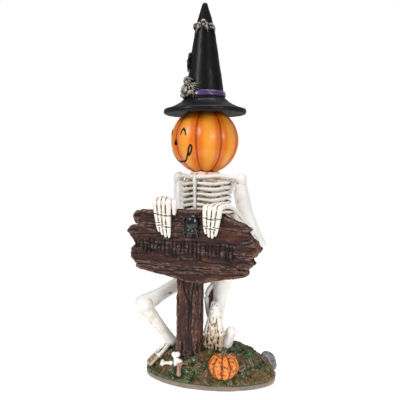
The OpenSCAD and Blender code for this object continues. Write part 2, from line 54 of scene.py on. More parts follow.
def lumps(points, size, seed=0, octaves=3):
    """Smooth noise from about -1 to 1, with lumps of that size."""
    total, weight, sum_of_weights = np.zeros(len(points)), 1.0, 0.0
    for octave in range(octaves):
        place = points / size * 2**octave + seed * 3.7 + octave * 11.3
        cell = np.floor(place).astype(np.int64)
        share = place - cell
        share = share * share * (3 - 2 * share)
        for corner in np.ndindex(2, 2, 2):
            x, y, z = (cell + np.array(corner)).T
            mix = (x * 73856093) ^ (y * 19349663) ^ (z * 83492791) ^ (seed * 2654435 + octave * 97)
            mix = (mix ^ (mix >> 13)) * 1274126177 & 0x7FFFFFFF
            height = (mix >> 8) % 2048 / 1023.5 - 1
            total += weight * height * np.prod(np.where(corner, share, 1 - share), axis=1)
        sum_of_weights += weight
        weight *= 0.5
    return total / sum_of_weights * 1.5


def join(forms):
    points, faces, start = [], [], 0
    for some_points, some_faces in forms:
        points.append(some_points)
        faces += [[i + start for i in face] for face in some_faces]
        start += len(some_points)
    return np.vstack(points), faces


def curve(stations, steps=6):
    """A smooth line through the stations, with every column smoothed alike."""
    line = np.array(stations, float)
    line = np.vstack([2 * line[0] - line[1], line, 2 * line[-1] - line[-2]])
    made = []
    for a, b, c, d in zip(line, line[1:], line[2:], line[3:]):
        for t in np.arange(steps) / steps:
            made.append(0.5 * (2 * b + (c - a) * t + (2 * a - 5 * b + 4 * c - d) * t**2
                               + (3 * b - a - 3 * c + d) * t**3))
    return np.array(made + [line[-2]])


def rings_of(rings):
    """Faces between rings of points, with a pole point at each end."""
    sides = len(rings[1])
    points = np.vstack(rings)
    last = len(points) - 1
    faces = [[0, 1 + (j + 1) % sides, 1 + j] for j in range(sides)]
    for i in range(len(rings) - 3):
        a, b = 1 + i * sides, 1 + (i + 1) * sides
        faces += [[a + j, a + (j + 1) % sides, b + (j + 1) % sides, b + j] for j in range(sides)]
    a = last - sides
    faces += [[last, a + j, a + (j + 1) % sides] for j in range(sides)]
    return points, faces


def rod(stations, steps=6, sides=18, flat=1.0, across=(0, 0, 1)):
    """A round-ended rod through stations of (x, y, z, radius). flat squeezes it along across."""
    line = curve(stations, steps)
    path, radii = line[:, :3], np.maximum(line[:, 3], 0.05)
    ways = np.gradient(path, axis=0)
    ways /= np.linalg.norm(ways, axis=1)[:, None]
    turn = np.arange(sides) * 2 * np.pi / sides
    rings = []

    def ring(centre, way, radius):
        u = np.cross(way, across)
        if np.linalg.norm(u) < 0.1:
            u = np.cross(way, (1.0, 0.3, 0))
        u = u / np.linalg.norm(u)
        v = np.cross(way, u)
        rings.append(centre + radius * (np.outer(np.cos(turn), u) + flat * np.outer(np.sin(turn), v)))

    caps = np.radians([68, 42, 18])
    rings.append((path[0] - ways[0] * radii[0])[None])
    for a in caps:
        ring(path[0] - ways[0] * radii[0] * math.sin(a), ways[0], radii[0] * math.cos(a))
    for centre, way, radius in zip(path, ways, radii):
        ring(centre, way, radius)
    for a in caps[::-1]:
        ring(path[-1] + ways[-1] * radii[-1] * math.sin(a), ways[-1], radii[-1] * math.cos(a))
    rings.append((path[-1] + ways[-1] * radii[-1])[None])
    return rings_of(rings)


def blob(centre, radii, turn=(0, 0, 0), sides=20):
    """An egg with three radii, turned by angles in degrees."""
    if np.isscalar(radii):
        radii = (radii,) * 3
    rings = []
    for a in np.linspace(-90, 90, 12):
        wide, high = math.cos(math.radians(a)), math.sin(math.radians(a))
        turns = np.arange(sides) * 2 * np.pi / sides
        ring = np.stack([wide * np.cos(turns), wide * np.sin(turns), np.full(sides, high)], 1)
        rings.append(ring[:1] if abs(a) == 90 else ring)
    points, faces = rings_of(rings)
    way = np.array(Euler([math.radians(a) for a in turn]).to_matrix())
    return points * radii @ way.T + np.array(centre, float), faces


def turned(profile, centre=(0, 0), sides=96, steps=1):
    """A form turned about an upright axis. Its profile of (radius, height) starts and ends on the axis."""
    line = curve(profile, steps) if steps > 1 else np.array(profile, float)
    turns = np.arange(sides) * 2 * np.pi / sides
    rings = []
    for r, z in line:
        if r < 1e-6:
            rings.append(np.array([[centre[0], centre[1], z]]))
        else:
            rings.append(np.stack([centre[0] + r * np.cos(turns), centre[1] + r * np.sin(turns),
                                   np.full(sides, z)], 1))
    return rings_of(rings)


def box(node):
    """The lowest and highest corner of a CAD node, in mm."""
    return tuple(np.array(corner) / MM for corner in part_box(node))


def cad(node):
    """The CAD node's own shape, merged into one closed form."""
    work = bmesh.new()
    work.from_mesh(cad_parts[node].data)
    bmesh.ops.remove_doubles(work, verts=work.verts, dist=1e-6)
    points = np.array([v.co for v in work.verts]) / MM
    faces = [[v.index for v in face.verts] for face in work.faces]
    work.free()
    return points, faces


# ---- skins: the surface of one piece ----


class Skin:
    """One closed surface, shaped and marked for its paint, and then made an object."""

    def __init__(self, name, mesh):
        self.name, self.mesh = name, mesh
        flat = np.empty(len(mesh.vertices) * 3)
        mesh.vertices.foreach_get("co", flat)
        self.points = flat.reshape(-1, 3) / MM
        ends = np.empty(len(mesh.edges) * 2, int)
        mesh.edges.foreach_get("vertices", ends)
        self.ends = ends.reshape(-1, 2).T
        self.stain = 0.0

    def normals(self):
        self.mesh.vertices.foreach_set("co", (self.points * MM).ravel())
        self.mesh.update()
        flat = np.empty(len(self.points) * 3)
        self.mesh.vertex_normals.foreach_get("vector", flat)
        return flat.reshape(-1, 3)

    def softened(self, values, times, share=0.5):
        """Values for the points, evened out with their neighbours'."""
        a, b = self.ends
        n = len(values)
        count = np.maximum(np.bincount(a, minlength=n) + np.bincount(b, minlength=n), 1)[:, None]
        values = values.reshape(n, -1)
        for _ in range(times):
            near = [np.bincount(a, c[b], n) + np.bincount(b, c[a], n) for c in values.T]
            values = values + share * (np.stack(near, 1) / count - values)
        return values.squeeze()

    def relax(self, times, share=0.5):
        self.points = self.softened(self.points, times, share)
        return self

    def push(self, amount):
        """Moves the surface outwards by an amount for each point."""
        self.points = self.points + self.normals() * np.asarray(amount)[:, None]
        return self

    def near(self, centre, reach):
        """1 at the centre, and falling to 0 beyond the reach."""
        gap = (self.points - np.array(centre, float)) / reach
        return np.exp(-(gap**2).sum(1))

    def mark(self, name, values):
        """Keeps a value from 0 to 1 for each point, for a finish to read."""
        layer = self.mesh.attributes.new(name, "FLOAT", "POINT")
        layer.data.foreach_set("value", np.clip(values, 0, 1).astype(np.float32))

    def wear(self, grain, gain):
        """Marks undersides for painted shade, with any stain of the skin added, grooves, where a wash
        gathers, and edges, where a dry brush catches.
        """
        normals, dip = self.normals(), 0
        for times, weight in ((3, 1.2), (12, 1.0), (36, 0.6)):
            soft = self.softened(self.points, times)
            dip = dip + weight * ((soft - self.points) * normals).sum(1)
        dip = self.softened(dip * gain / grain, 1)
        # painted shade: the more a point faces down, the higher its mark, plus the skin's own stain
        self.mark("under", 0.35 - 0.65 * normals[:, 2] + self.stain)
        self.mark("groove", dip * 1.6 + 0.4 * self.stain)
        self.mark("edge", -dip * 1.6)

    def piece(self, finish, nodes=(), slot=None, grain=0.5, gain=1.0):
        """Makes the skin an object in its finish, which stands for the CAD nodes named."""
        self.wear(grain, gain)
        self.mesh.polygons.foreach_set("use_smooth", np.ones(len(self.mesh.polygons), bool))
        self.mesh.materials.clear()
        self.mesh.materials.append(finish)
        made = bpy.data.objects.new(self.name, self.mesh)
        scene.collection.objects.link(made)
        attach(made, "root")
        if nodes:
            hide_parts(*nodes)
        return made


def plain(name, form):
    """A skin straight from a form, for shapes that need no fusing."""
    mesh = bpy.data.meshes.new(name)
    mesh.from_pydata(form[0] * MM, [], form[1])
    work = bmesh.new()
    work.from_mesh(mesh)
    bmesh.ops.recalc_face_normals(work, faces=work.faces)
    work.to_mesh(mesh)
    work.free()
    return Skin(name, mesh)


def plain_mesh(maker):
    """The mesh that an object's modifiers make, and the object is gone."""
    mesh = bpy.data.meshes.new_from_object(maker.evaluated_get(bpy.context.evaluated_depsgraph_get()))
    bpy.data.objects.remove(maker)
    return mesh


def fused(name, forms, grain, relax=2):
    """One closed skin round overlapping forms, with faces about grain across."""
    rough = bpy.data.objects.new(name, plain(name, join(forms)).mesh)
    scene.collection.objects.link(rough)
    skin = rough.modifiers.new("skin", "REMESH")
    skin.mode = "VOXEL"
    skin.voxel_size = grain * MM
    return Skin(name, plain_mesh(rough)).relax(relax)


# ---- finishes ----


class Value:
    """A number that varies over a surface. Ordinary sums on it add Math nodes."""

    def __init__(self, finish, socket):
        self.finish, self.socket = finish, socket

    def maths(self, operation, other, first=True):
        pair = (self, other) if first else (other, self)
        return self.finish.node("ShaderNodeMath", {"operation": operation}, dict(enumerate(pair)))

    def __add__(self, other):
        return self.maths("ADD", other)

    def __sub__(self, other):
        return self.maths("SUBTRACT", other)

    def __rsub__(self, other):
        return self.maths("SUBTRACT", other, False)

    def __mul__(self, other):
        return self.maths("MULTIPLY", other)

    __radd__, __rmul__ = __add__, __mul__

    def over(self, low, high):
        """0 below low, 1 above high, and smooth between."""
        return self.finish.node("ShaderNodeMapRange", {"interpolation_type": "SMOOTHSTEP"},
                                {0: self, 1: low, 2: high})


class Finish:
    """One paint or material, made of nodes on Object coordinates."""

    def __init__(self, name, **constants):
        self.material = bpy.data.materials.new(name)
        self.material.use_nodes = True
        self.tree = self.material.node_tree
        self.surface = self.tree.nodes["Principled BSDF"]
        for setting, value in constants.items():
            label = setting.replace("_", " ").title().replace("Ior", "IOR")
            self.surface.inputs[label].default_value = value

    def node(self, kind, settings=None, sockets=None, out=0):
        made = self.tree.nodes.new(kind)
        for key, value in (settings or {}).items():
            setattr(made, key, value)
        for key, value in (sockets or {}).items():
            self.put(made.inputs[key], value)
        return Value(self, made.outputs[out])

    def put(self, socket, value):
        if isinstance(value, Value):
            self.tree.links.new(value.socket, socket)
        else:
            socket.default_value = value

    def noise(self, size, stretch=(1, 1, 1), detail=4.0, rough=0.55):
        """Noise from 0 to 1 with spots about size mm across, drawn out by stretch."""
        place = self.node("ShaderNodeTexCoord", out=3)
        scale = tuple(1 / (size * MM * s) for s in stretch)
        place = self.node("ShaderNodeMapping", {}, {0: place, 3: scale})
        return self.node("ShaderNodeTexNoise", {}, {0: place, 2: 1.0, 3: detail, 4: rough})

    def mark(self, name):
        """What a skin was marked with under that name."""
        return self.node("ShaderNodeAttribute", {"attribute_name": name}, out=2)

    def mix(self, share, first, second):
        return self.node("ShaderNodeMix", {"data_type": "RGBA"}, {0: share, 6: first, 7: second}, out=2)

    def done(self, colour, roughness, height=None, depth=0.2):
        """Sets the colour and roughness, and a relief of that depth in mm."""
        self.put(self.surface.inputs["Base Color"], colour)
        self.put(self.surface.inputs["Roughness"], roughness)
        if height is not None:
            bump = self.node("ShaderNodeBump", {}, {0: 1.0, 1: depth * MM, "Height": height})
            self.put(self.surface.inputs["Normal"], bump)
        return self.material


def rgb(code):
    """A colour from its six-digit code, as light."""
    values = [int(code[i : i + 2], 16) / 255 for i in (0, 2, 4)]
    return tuple(v / 12.92 if v < 0.04045 else ((v + 0.055) / 1.055) ** 2.4 for v in values) + (1.0,)


def bone_paint(name, wash=1.0, specks=0.0, shade="cdb391", deep="4a3120", tint="f4f1ec", bright=0.6):
    """White paint that a tan and brown wash has run over and settled in the grooves of, with painted shade
    darkening its undersides.
    """
    paint = Finish(name, specular_ior_level=0.5, coat_weight=0.25, coat_roughness=0.22)
    cloud = paint.noise(9)
    fine = paint.noise(1.6, detail=6.0)
    groove = paint.mark("groove")
    # painted shade: undersides turn tan, on top of the mottled and groove wash
    underside_shade = paint.mark("under").over(0.22, 0.95)
    stain = (cloud.over(0.46, 0.75) * 0.4 + groove.over(0.02, 0.35) + underside_shade * 0.55) * wash
    colour = paint.mix(stain.over(0.0, 1.05), rgb(tint), rgb(shade))
    dark = (groove.over(0.25, 0.8) * (0.6 + fine.over(0.35, 0.6) * 0.6)) * wash
    colour = paint.mix(dark.over(0.0, 1.0), colour, rgb(deep))
    if specks:
        spot = paint.noise(2.2, detail=5.0, rough=0.7).over(0.60, 0.68) * paint.noise(7).over(0.42, 0.6)
        colour = paint.mix(spot * specks, colour, rgb(deep))
    colour = paint.mix(paint.mark("edge").over(0.2, 0.9) * bright, colour, rgb("fbfaf7"))
    return paint.done(colour, 0.3 + fine * 0.16 + groove * 0.25, fine + cloud * 0.5, 0.12)


def wood_paint(name, axis):
    """Dark brown paint over carved grain, with reddish patches and a pale dry brush on its edges."""
    grain_way, patch_way, chalk_way = (
        tuple(long if i == axis else 1 for i in range(3)) for long in (12, 2, 3))
    paint = Finish(name, specular_ior_level=0.2, coat_weight=0.1, coat_roughness=0.2)
    grain = paint.noise(1.1, grain_way, detail=5.0, rough=0.6)
    patch = paint.noise(13, patch_way)
    chalk = paint.noise(0.9, chalk_way, detail=5.0, rough=0.7)
    colour = paint.mix(grain.over(0.3, 0.72), rgb("281512"), rgb("492c24"))
    colour = paint.mix(patch.over(0.5, 0.68) * 0.5, colour, rgb("6e3d2b"))
    colour = paint.mix(paint.mark("groove").over(0.1, 0.75) * 0.92, colour, rgb("0c0605"))
    brushed = paint.mark("edge").over(0.25, 0.95) * chalk.over(0.45, 0.62)
    colour = paint.mix(brushed * 0.5, colour, rgb("a88b7c"))
    worn = chalk.over(0.66, 0.72) * patch.over(0.45, 0.6)
    colour = paint.mix(worn * 0.5, colour, rgb("b8a090"))
    return paint.done(colour, 0.42 + chalk * 0.2, grain, 0.35)


def pumpkin_paint(name, light, body, deep, wash):
    """Orange, lighter down the middle of each rib and red brown in the grooves, under a gloss coat."""
    paint = Finish(name, specular_ior_level=0.3, coat_weight=0.3, coat_roughness=0.24)
    cloud = paint.noise(11, detail=3.0)
    fine = paint.noise(1.3, detail=6.0, rough=0.65)
    colour = paint.mix(paint.mark("rib").over(0.35, 1.0) * (0.55 + cloud * 0.6), rgb(body), rgb(light))
    colour = paint.mix(cloud.over(0.55, 0.8) * 0.35, colour, rgb("e8701c"))
    colour = paint.mix(paint.mark("seam").over(0.1, 1.0), colour, rgb(deep))
    colour = paint.mix(paint.mark("seam").over(0.8, 1.0) * 0.55, colour, rgb("5a220c"))
    speck = paint.noise(1.5, detail=4.0, rough=0.75).over(0.66, 0.72) * paint.noise(8).over(0.5, 0.62)
    colour = paint.mix(speck * 0.5, colour, rgb("5a2a10"))
    if wash:
        pits = paint.noise(2.0, detail=5.0, rough=0.65).over(0.49, 0.58)
        colour = paint.mix(pits * wash, colour, rgb("4e240d"))
        glint = paint.noise(1.2, detail=2.0).over(0.62, 0.7)
        colour = paint.mix(glint * 0.5, colour, rgb("ffb46a"))
    return paint.done(colour, 0.27 + fine * 0.14, fine + cloud, 0.1)


def black_paint(name, gloss, body="09090c", speck="25252c", coat=0.2):
    """Near-black paint with a fine grey tooth."""
    paint = Finish(name, specular_ior_level=0.15, coat_weight=coat, coat_roughness=0.18)
    tooth = paint.noise(0.7, detail=5.0, rough=0.7)
    cloud = paint.noise(9)
    colour = paint.mix(tooth.over(0.5, 0.75) * 0.7, rgb(body), rgb(speck))
    colour = paint.mix(cloud.over(0.5, 0.75) * 0.3, colour, rgb("050507"))
    colour = paint.mix(paint.mark("edge").over(0.4, 1.0) * 0.15, colour, rgb("44444e"))
    return paint.done(colour, gloss + tooth * 0.2, tooth + cloud * 0.6, 0.14)


def silver_paint(name):
    """Black relief whose raised parts are dry-brushed in pale silver."""
    paint = Finish(name, specular_ior_level=0.5)
    tooth = paint.noise(0.8, detail=5.0, rough=0.7)
    high = paint.mark("high").over(0.3, 0.85) * (0.55 + tooth.over(0.35, 0.6) * 0.6)
    edge = paint.mark("edge").over(0.1, 0.6) * tooth.over(0.38, 0.58)
    share = (high * 0.75 + edge * 0.55) * (1 - paint.mark("groove").over(0.1, 0.6))
    colour = paint.mix(share.over(0.25, 1.0), rgb("08080a"), rgb("bdb6a8"))
    paint.put(paint.surface.inputs["Metallic"], share.over(0.3, 1.0) * 0.35)
    return paint.done(colour, 0.35 + tooth * 0.25, tooth, 0.15)


def purple_paint(name):
    """Glossy purple, darker in its folds."""
    paint = Finish(name, specular_ior_level=0.6, coat_weight=0.6, coat_roughness=0.2)
    tooth = paint.noise(1.2, detail=4.0)
    colour = paint.mix(tooth.over(0.35, 0.7), rgb("3a2152"), rgb("5d3a80"))
    colour = paint.mix(paint.mark("groove").over(0.1, 0.7), colour, rgb("170c22"))
    return paint.done(colour, 0.25 + tooth * 0.15, tooth, 0.12)


def moss_paint(name):
    """Wet moss and leaf litter in greens, olives and browns, as one glossy crust."""
    paint = Finish(name, specular_ior_level=0.2, coat_roughness=0.12)
    patch = paint.noise(17, detail=3.0)
    clump = paint.noise(4.2, detail=5.0, rough=0.65)
    fine = paint.noise(1.0, detail=6.0, rough=0.75)
    tint = paint.mark("tint")
    colour = paint.mix(clump.over(0.35, 0.65), rgb("0c1d12"), rgb("2a5020"))
    colour = paint.mix(patch.over(0.48, 0.58) * 0.85, colour, rgb("5f3f1f"))
    colour = paint.mix(tint.over(0.62, 0.8) * 0.8, colour, rgb("86592f"))
    colour = paint.mix(tint.over(0.9, 0.94) * 0.75, colour, rgb("a08a48"))
    colour = paint.mix((1 - tint).over(0.8, 0.95) * 0.8, colour, rgb("12352a"))
    colour = paint.mix(fine.over(0.56, 0.66) * 0.5, colour, rgb("080c07"))
    colour = paint.mix(paint.mark("edge").over(0.2, 0.9) * fine.over(0.4, 0.6) * 0.4, colour, rgb("8f9a72"))
    paint.put(paint.surface.inputs["Coat Weight"], (fine + clump).over(0.95, 1.15) * 0.9)
    return paint.done(colour, 0.3 + fine * 0.4, fine + clump, 0.6)


def earth_paint(name, light, dark, deep, rough=0.45, size=4.0, gloss=0.2):
    """Mottled paint for resin, stone, leaf, bark and felt."""
    paint = Finish(name, specular_ior_level=0.5, coat_weight=gloss, coat_roughness=0.25)
    cloud = paint.noise(size)
    fine = paint.noise(size / 5, detail=6.0, rough=0.7)
    colour = paint.mix(cloud.over(0.35, 0.68), rgb(light), rgb(dark))
    colour = paint.mix(fine.over(0.55, 0.72) * 0.45, colour, rgb(deep))
    colour = paint.mix(paint.mark("groove").over(0.1, 0.8) * 0.8, colour, rgb(deep))
    colour = paint.mix(paint.mark("edge").over(0.3, 1.0) * 0.18, colour, rgb("e9e2d6"))
    return paint.done(colour, rough + fine * 0.2, fine + cloud, 0.25)


def steel(name):
    """Drawn steel wire."""
    paint = Finish(name, metallic=1.0)
    fine = paint.noise(0.6, (1, 1, 9), detail=5.0)
    return paint.done(paint.mix(fine, rgb("8b8d90"), rgb("c3c5c8")), 0.3 + fine * 0.2, fine, 0.05)


white_bone = bone_paint("white_bone", wash=0.95, specks=0.2)
# a darker, browner bone paint: heavier wash, and painted shade where it dresses the figure's right
shaded_washed_bone = bone_paint("shaded_washed_bone", 1.3, 0.35, shade="bfa27b", deep="352214", tint="f0eadf")
hand_bone = bone_paint("hand_bone", 1.3, 0.15, shade="cfb58c", deep="3a2617", tint="efe9dc")
core_paint = bone_paint("core_wash", 1.3, 0.9, shade="b8956a", deep="2c1c13", tint="ccb48f")
collar_paint = bone_paint("collar_wash", 1.2, 0.6, shade="d39a5c", deep="5a3013", tint="e8c79a")
toe_paint = bone_paint("toe_wash", 1.5, 1.0, "8a6a45", "20130b", tint="b59e7c", bright=0.12)
# painted shadow: dark brown paint for the sheet that fills the gap beside the left shin
shadow_paint = bone_paint("painted_gap_shadow", 1.5, 1.0, "4a3120", "20130b", tint="6b4c36", bright=0.05)
plank_paint = wood_paint("plank_brown", 0)
post_paint = wood_paint("post_brown", 2)
head_orange = pumpkin_paint("head_orange", "ffab38", "ec7611", "96340c", 0.0)
small_orange = pumpkin_paint("small_orange", "ff9a3c", "ee7a1e", "8a3a12", 0.85)
hat_paint = black_paint("hat_black", 0.3, "040406", "1e1e25", 0.1)
line_paint = black_paint("line_black", 0.4, "020202", "060505", 0.0)
spider_paint = black_paint("spider_black", 0.12, "020203", "08080a", 1.0)
silver = silver_paint("relief_silver")
band_paint = purple_paint("band_purple")
moss = moss_paint("wet_moss")
rim_paint = earth_paint("rim_resin", "6e4d30", "37351c", "1e160d", size=7, gloss=0.1)
stone_paint = earth_paint("stone_grey", "5e616b", "3b3d46", "1f2026", rough=0.35, size=6, gloss=0.4)
leaf_paint = earth_paint("dead_leaf", "6e3f24", "4a2c17", "28140a", size=2, gloss=0.05)
twig_paint = earth_paint("twig_bark", "b27a4e", "7a4a2c", "3a2112", size=2)
stem_paint = earth_paint("stem_olive", "6a5a2e", "4a4020", "241c0c", size=2)
felt_paint = earth_paint("felt_grey", "3c3d40", "2c2d30", "1c1c1f", rough=0.8, size=1.5, gloss=0.0)
steel_paint = steel("pin_steel")


# ---- places: the casting's own joints and sizes, as in its CAD ----

head_low, head_high = box("pumpkin_head")
HEAD = (head_low + head_high) / 2
HEAD_RADIUS = float(head_high[0] - head_low[0]) / 2
SHOULDER = {"left": (24.7, 2.4, 154.5), "right": (-32.1, 11.8, 156)}
ELBOW = {"left": (36.6, 9.5, 106), "right": (-31.5, -1, 100)}
WRIST = {"left": (25.9, -19, 130), "right": (-28.5, -19, 131.5)}
HIP = {"left": (-8, 16.5, 76), "right": (-25, 19.5, 74)}
KNEE = {"left": (10, 1.9, 78), "right": (-48.5, -19.6, 55.5)}
ANKLE = {"left": (5.8, -1, 38), "right": (-29, -9.6, 26.5)}
CHEST = (-5.9, 6.2)
CHEST_TURN = math.radians(-10)
SIDES = {"left": 1, "right": -1}
SIGN_FRONT = box("sign_plank_upper")[0][1]
SIGN_TOP = box("sign_plank_top")[1][2]


def mid(a, b, t, shift=(0, 0, 0)):
    """The place at share t of the way from a to b, shifted."""
    return tuple(a[i] + (b[i] - a[i]) * t + shift[i] for i in range(3))


def moved(place, x, y, z):
    """A place shifted by x, y and z."""
    return (place[0] + x, place[1] + y, place[2] + z)


def along(a, b, *stops):
    """Stations of a rod from a to b. Each stop is a share of the way, a radius and, if any, a shift."""
    return [mid(a, b, t, *shift) + (radius,) for t, radius, *shift in stops]


def in_chest(x, y, z):
    """A place in the chest's own turned axes."""
    c, s = math.cos(CHEST_TURN), math.sin(CHEST_TURN)
    return (CHEST[0] + x * c - y * s, CHEST[1] + x * s + y * c, z)


def worn(skin, size=5.0, depth=0.18, seed=1):
    """The slight unevenness of a hand-finished casting."""
    return skin.push(lumps(skin.points, size, seed) * depth)


# ---- base ----


def grain_push(skin, axis, size, depth, seed):
    """Cuts long grain lines along one axis, and chips the ends."""
    stretch = np.array([0.085 if i == axis else 1.0 for i in range(3)])
    waver = np.array([0 if i == axis else 1.4 for i in range(3)])
    place = (skin.points + lumps(skin.points, 14, seed + 5)[:, None] * waver) * stretch
    lines = lumps(place, size, seed)
    cuts = np.clip(1 - np.abs(lumps(place, size * 1.8, seed + 1, 2)) / 0.16, 0, 1)
    skin.push(depth * (0.8 * lines - 1.5 * cuts) + 0.3 * depth * lumps(skin.points, 3, seed + 2))
    return skin


def build_base():
    skin = fused("moss_mound", [cad("moss_mound")], 0.75, 1)
    p = skin.points
    above_rim = np.clip((p[:, 2] - 4.6) / 3, 0, 1)
    skin.push(above_rim * (0.9 * lumps(p, 9, 3, 2) + 0.8 * lumps(p, 3.4, 4, 2) - 0.4))
    skin.mark("tint", 0.5 + 0.5 * lumps(skin.points, 2.2, 8))
    mound = skin.piece(moss, ["moss_mound"], "moss", 0.75)
    strew_crumbs(mound)
    rim = fused("base_rim", [cad("base_rim")], 0.7, 3)
    rim.push(0.3 * lumps(rim.points, 8, 2) + 0.1)
    rim.piece(rim_paint, ["base_rim"], "bare_resin", 0.7)
    stone = fused("grey_stone", [cad("grey_stone"), blob((41.6, 17.6, 8.2), (8.0, 7.4, 7.0))], 0.5, 2)
    facets = np.abs(lumps(stone.points, 8, 12, 1))
    stone.push(0.5 * facets - 0.3 + 0.12 * lumps(stone.points, 2, 13))
    stone.piece(stone_paint, ["grey_stone"], "stone_grey", 0.5)


def litter_tree():
    """A Geometry Nodes tree that strews flakes in several tints over a surface, above a lowest height."""
    tree = bpy.data.node_groups.new("moss_litter", "GeometryNodeTree")
    face = tree.interface
    face.new_socket("Geometry", in_out="INPUT", socket_type="NodeSocketGeometry")
    given = {}
    for label, value in (("Density", 0.36e6), ("Seed", 7), ("Crumb size", 1.2 * MM), ("Lowest", 4.2 * MM)):
        kind = "NodeSocketInt" if label == "Seed" else "NodeSocketFloat"
        made = face.new_socket(label, in_out="INPUT", socket_type=kind)
        given[made.identifier] = value
    face.new_socket("Geometry", in_out="OUTPUT", socket_type="NodeSocketGeometry")
    start = tree.nodes.new("NodeGroupInput").outputs

    def node(kind, sockets, **settings):
        made = tree.nodes.new(kind)
        for key, value in settings.items():
            setattr(made, key, value)
        for key, value in sockets.items():
            if hasattr(value, "is_output"):
                tree.links.new(value, made.inputs[key])
            else:
                made.inputs[key].default_value = value
        return made.outputs

    def chance(seed, low, high):
        """A random number for each flake."""
        return node("FunctionNodeRandomValue", {2: low, 3: high, "Seed": seed}, data_type="FLOAT")[1]

    place = node("GeometryNodeInputPosition", {})
    height = node("ShaderNodeSeparateXYZ", {0: place[0]})[2]
    upper = node("FunctionNodeCompare", {0: height, 1: start["Lowest"]}, data_type="FLOAT",
                 operation="GREATER_THAN")
    strewn = node("GeometryNodeDistributePointsOnFaces",
                  {0: start["Geometry"], "Selection": upper[0], "Density": start["Density"],
                   "Seed": start["Seed"]}, distribute_method="RANDOM")
    ball = node("GeometryNodeMeshIcoSphere", {"Radius": 1.0, "Subdivisions": 1})
    flake = node("GeometryNodeTransform", {0: ball[0], "Scale": (1.0, 0.62, 0.5)})
    spin = node("FunctionNodeRandomValue", {0: (0, 0, 0), 1: (6.28, 6.28, 6.28), "Seed": start["Seed"]},
                data_type="FLOAT_VECTOR")
    size = node("ShaderNodeMath", {0: chance(start["Seed"], 0.35, 1.0), 1: start["Crumb size"]},
                operation="MULTIPLY")
    flakes = node("GeometryNodeInstanceOnPoints",
                  {"Points": strewn[0], "Instance": flake[0], "Rotation": spin[0], "Scale": size[0]})
    tinted = node("GeometryNodeStoreNamedAttribute",
                  {0: flakes[0], "Name": "tint", "Value": chance(19, 0.0, 1.0)}, data_type="FLOAT",
                  domain="INSTANCE")
    real = node("GeometryNodeRealizeInstances", {0: tinted[0]})
    painted = node("GeometryNodeSetMaterial", {0: real[0], "Material": moss})
    tree.links.new(painted[0], tree.nodes.new("NodeGroupOutput").inputs[0])
    return tree, given


def strew_crumbs(mound):
    """Moss tufts and litter over the mound."""
    maker = bpy.data.objects.new("moss_litter_maker", mound.data.copy())
    scene.collection.objects.link(maker)
    strew = maker.modifiers.new("litter", "NODES")
    strew.node_group, given = litter_tree()
    for identifier, value in given.items():
        strew[identifier] = value
    skin = Skin("moss_litter", plain_mesh(maker))
    skin.push(0.18 * lumps(skin.points, 0.9, 21, 2))
    for name in ("groove", "edge", "under"):
        old = skin.mesh.attributes.get(name)
        if old:
            skin.mesh.attributes.remove(old)
    skin.piece(moss, [], "moss", 2.0)


def mound_top(x, y):
    """The height of the mound's top at a place."""
    low, high = box("moss_mound")
    half = (high - low) / 2
    return high[2] * math.sqrt(max(0.0, 1 - (x / half[0]) ** 2 - (y / half[1]) ** 2))


LEAF_PLACES = [(-25, -20), (-7, -30), (3, -31), (34, -21), (30, 8), (22, 24), (-30, 14), (-45, -4),
               (-33, -20), (38, -12), (-18, -31.5), (10, -34), (-5, 30), (44, 2)]
LEAF_SECTION = [(-1, 0), (-0.5, 1), (0, 0.2), (0.5, 1), (1, 0), (0.5, -1), (0, -1.8), (-0.5, -1)]


def leaf(x, y, size, turn, curl):
    """A dead leaf with notched edges, curled up off the mound."""
    rings = []
    for t in np.linspace(-1, 1, 13):
        wide = 0.5 * (1 - t * t) ** 0.7 * (1 + 0.18 * math.cos(t * 14)) + 0.02
        ring = []
        for s, up in LEAF_SECTION:
            u, v = size * t, size * wide * s
            px = x + u * math.cos(turn) - v * math.sin(turn)
            py = y + u * math.sin(turn) + v * math.cos(turn)
            fold = curl * size * (abs(s) * 0.6 + 0.5 * t * t)
            ring.append((px, py, mound_top(px, py) + 0.6 + 0.3 * up + fold))
        rings.append(np.array(ring))
    rings[0], rings[-1] = rings[0].mean(0)[None], rings[-1].mean(0)[None]
    return rings_of(rings)


def build_litter():
    """Leaves, twig and loose bones on the mound."""
    rng = np.random.default_rng(5)
    forms = [leaf(x, y, rng.uniform(2.0, 3.4), rng.uniform(0, 6.28), rng.uniform(0.12, 0.3))
             for x, y in LEAF_PLACES]
    leaves = plain("fallen_leaves", join(forms))
    worn(leaves, 3, 0.2, 9).piece(leaf_paint, ["fallen_leaves"], "dead_leaves", 0.8)
    fork = (-11.2, -33.4, 15.2)
    stem = [(-11.6, -31.6, 16.8, 1.3), fork + (1.7,), (-10.6, -35.4, 12.6, 1.5), (-10, -36.6, 10, 1.7)]
    stick = [rod(stem), rod([fork + (1.0,), (-9.4, -32.6, 16.4, 0.8), (-8.2, -32.2, 16.8, 0.5)])]
    skin = fused("twig", stick, 0.35, 1)
    grain_push(skin, 2, 1.0, 0.18, 31).piece(twig_paint, ["twig"], "dead_leaves", 0.35)
    shaft = [(14.6, -6, 20.5, 4.2), (16, -5.4, 28, 4.3), (18.2, -4.5, 34, 4.0), (19.2, -4, 37, 4.2)]
    upright = [rod(shaft), blob((15.2, -5.4, 35.4), 2.3)]
    for node, forms, finish, seed in (
        ("ground_bone_stub", [cad("ground_bone_stub")], white_bone, 41),
        ("ground_bone_lying", [cad("ground_bone_lying")], shaded_washed_bone, 42),
        ("ground_bone_upright", upright, white_bone, 43),
    ):
        skin = fused(node, forms, 0.4, 5)
        skin.push(0.25 * lumps(skin.points, 3.5, seed) + 0.1)
        skin.piece(finish, [node], "bone_white", 0.4)


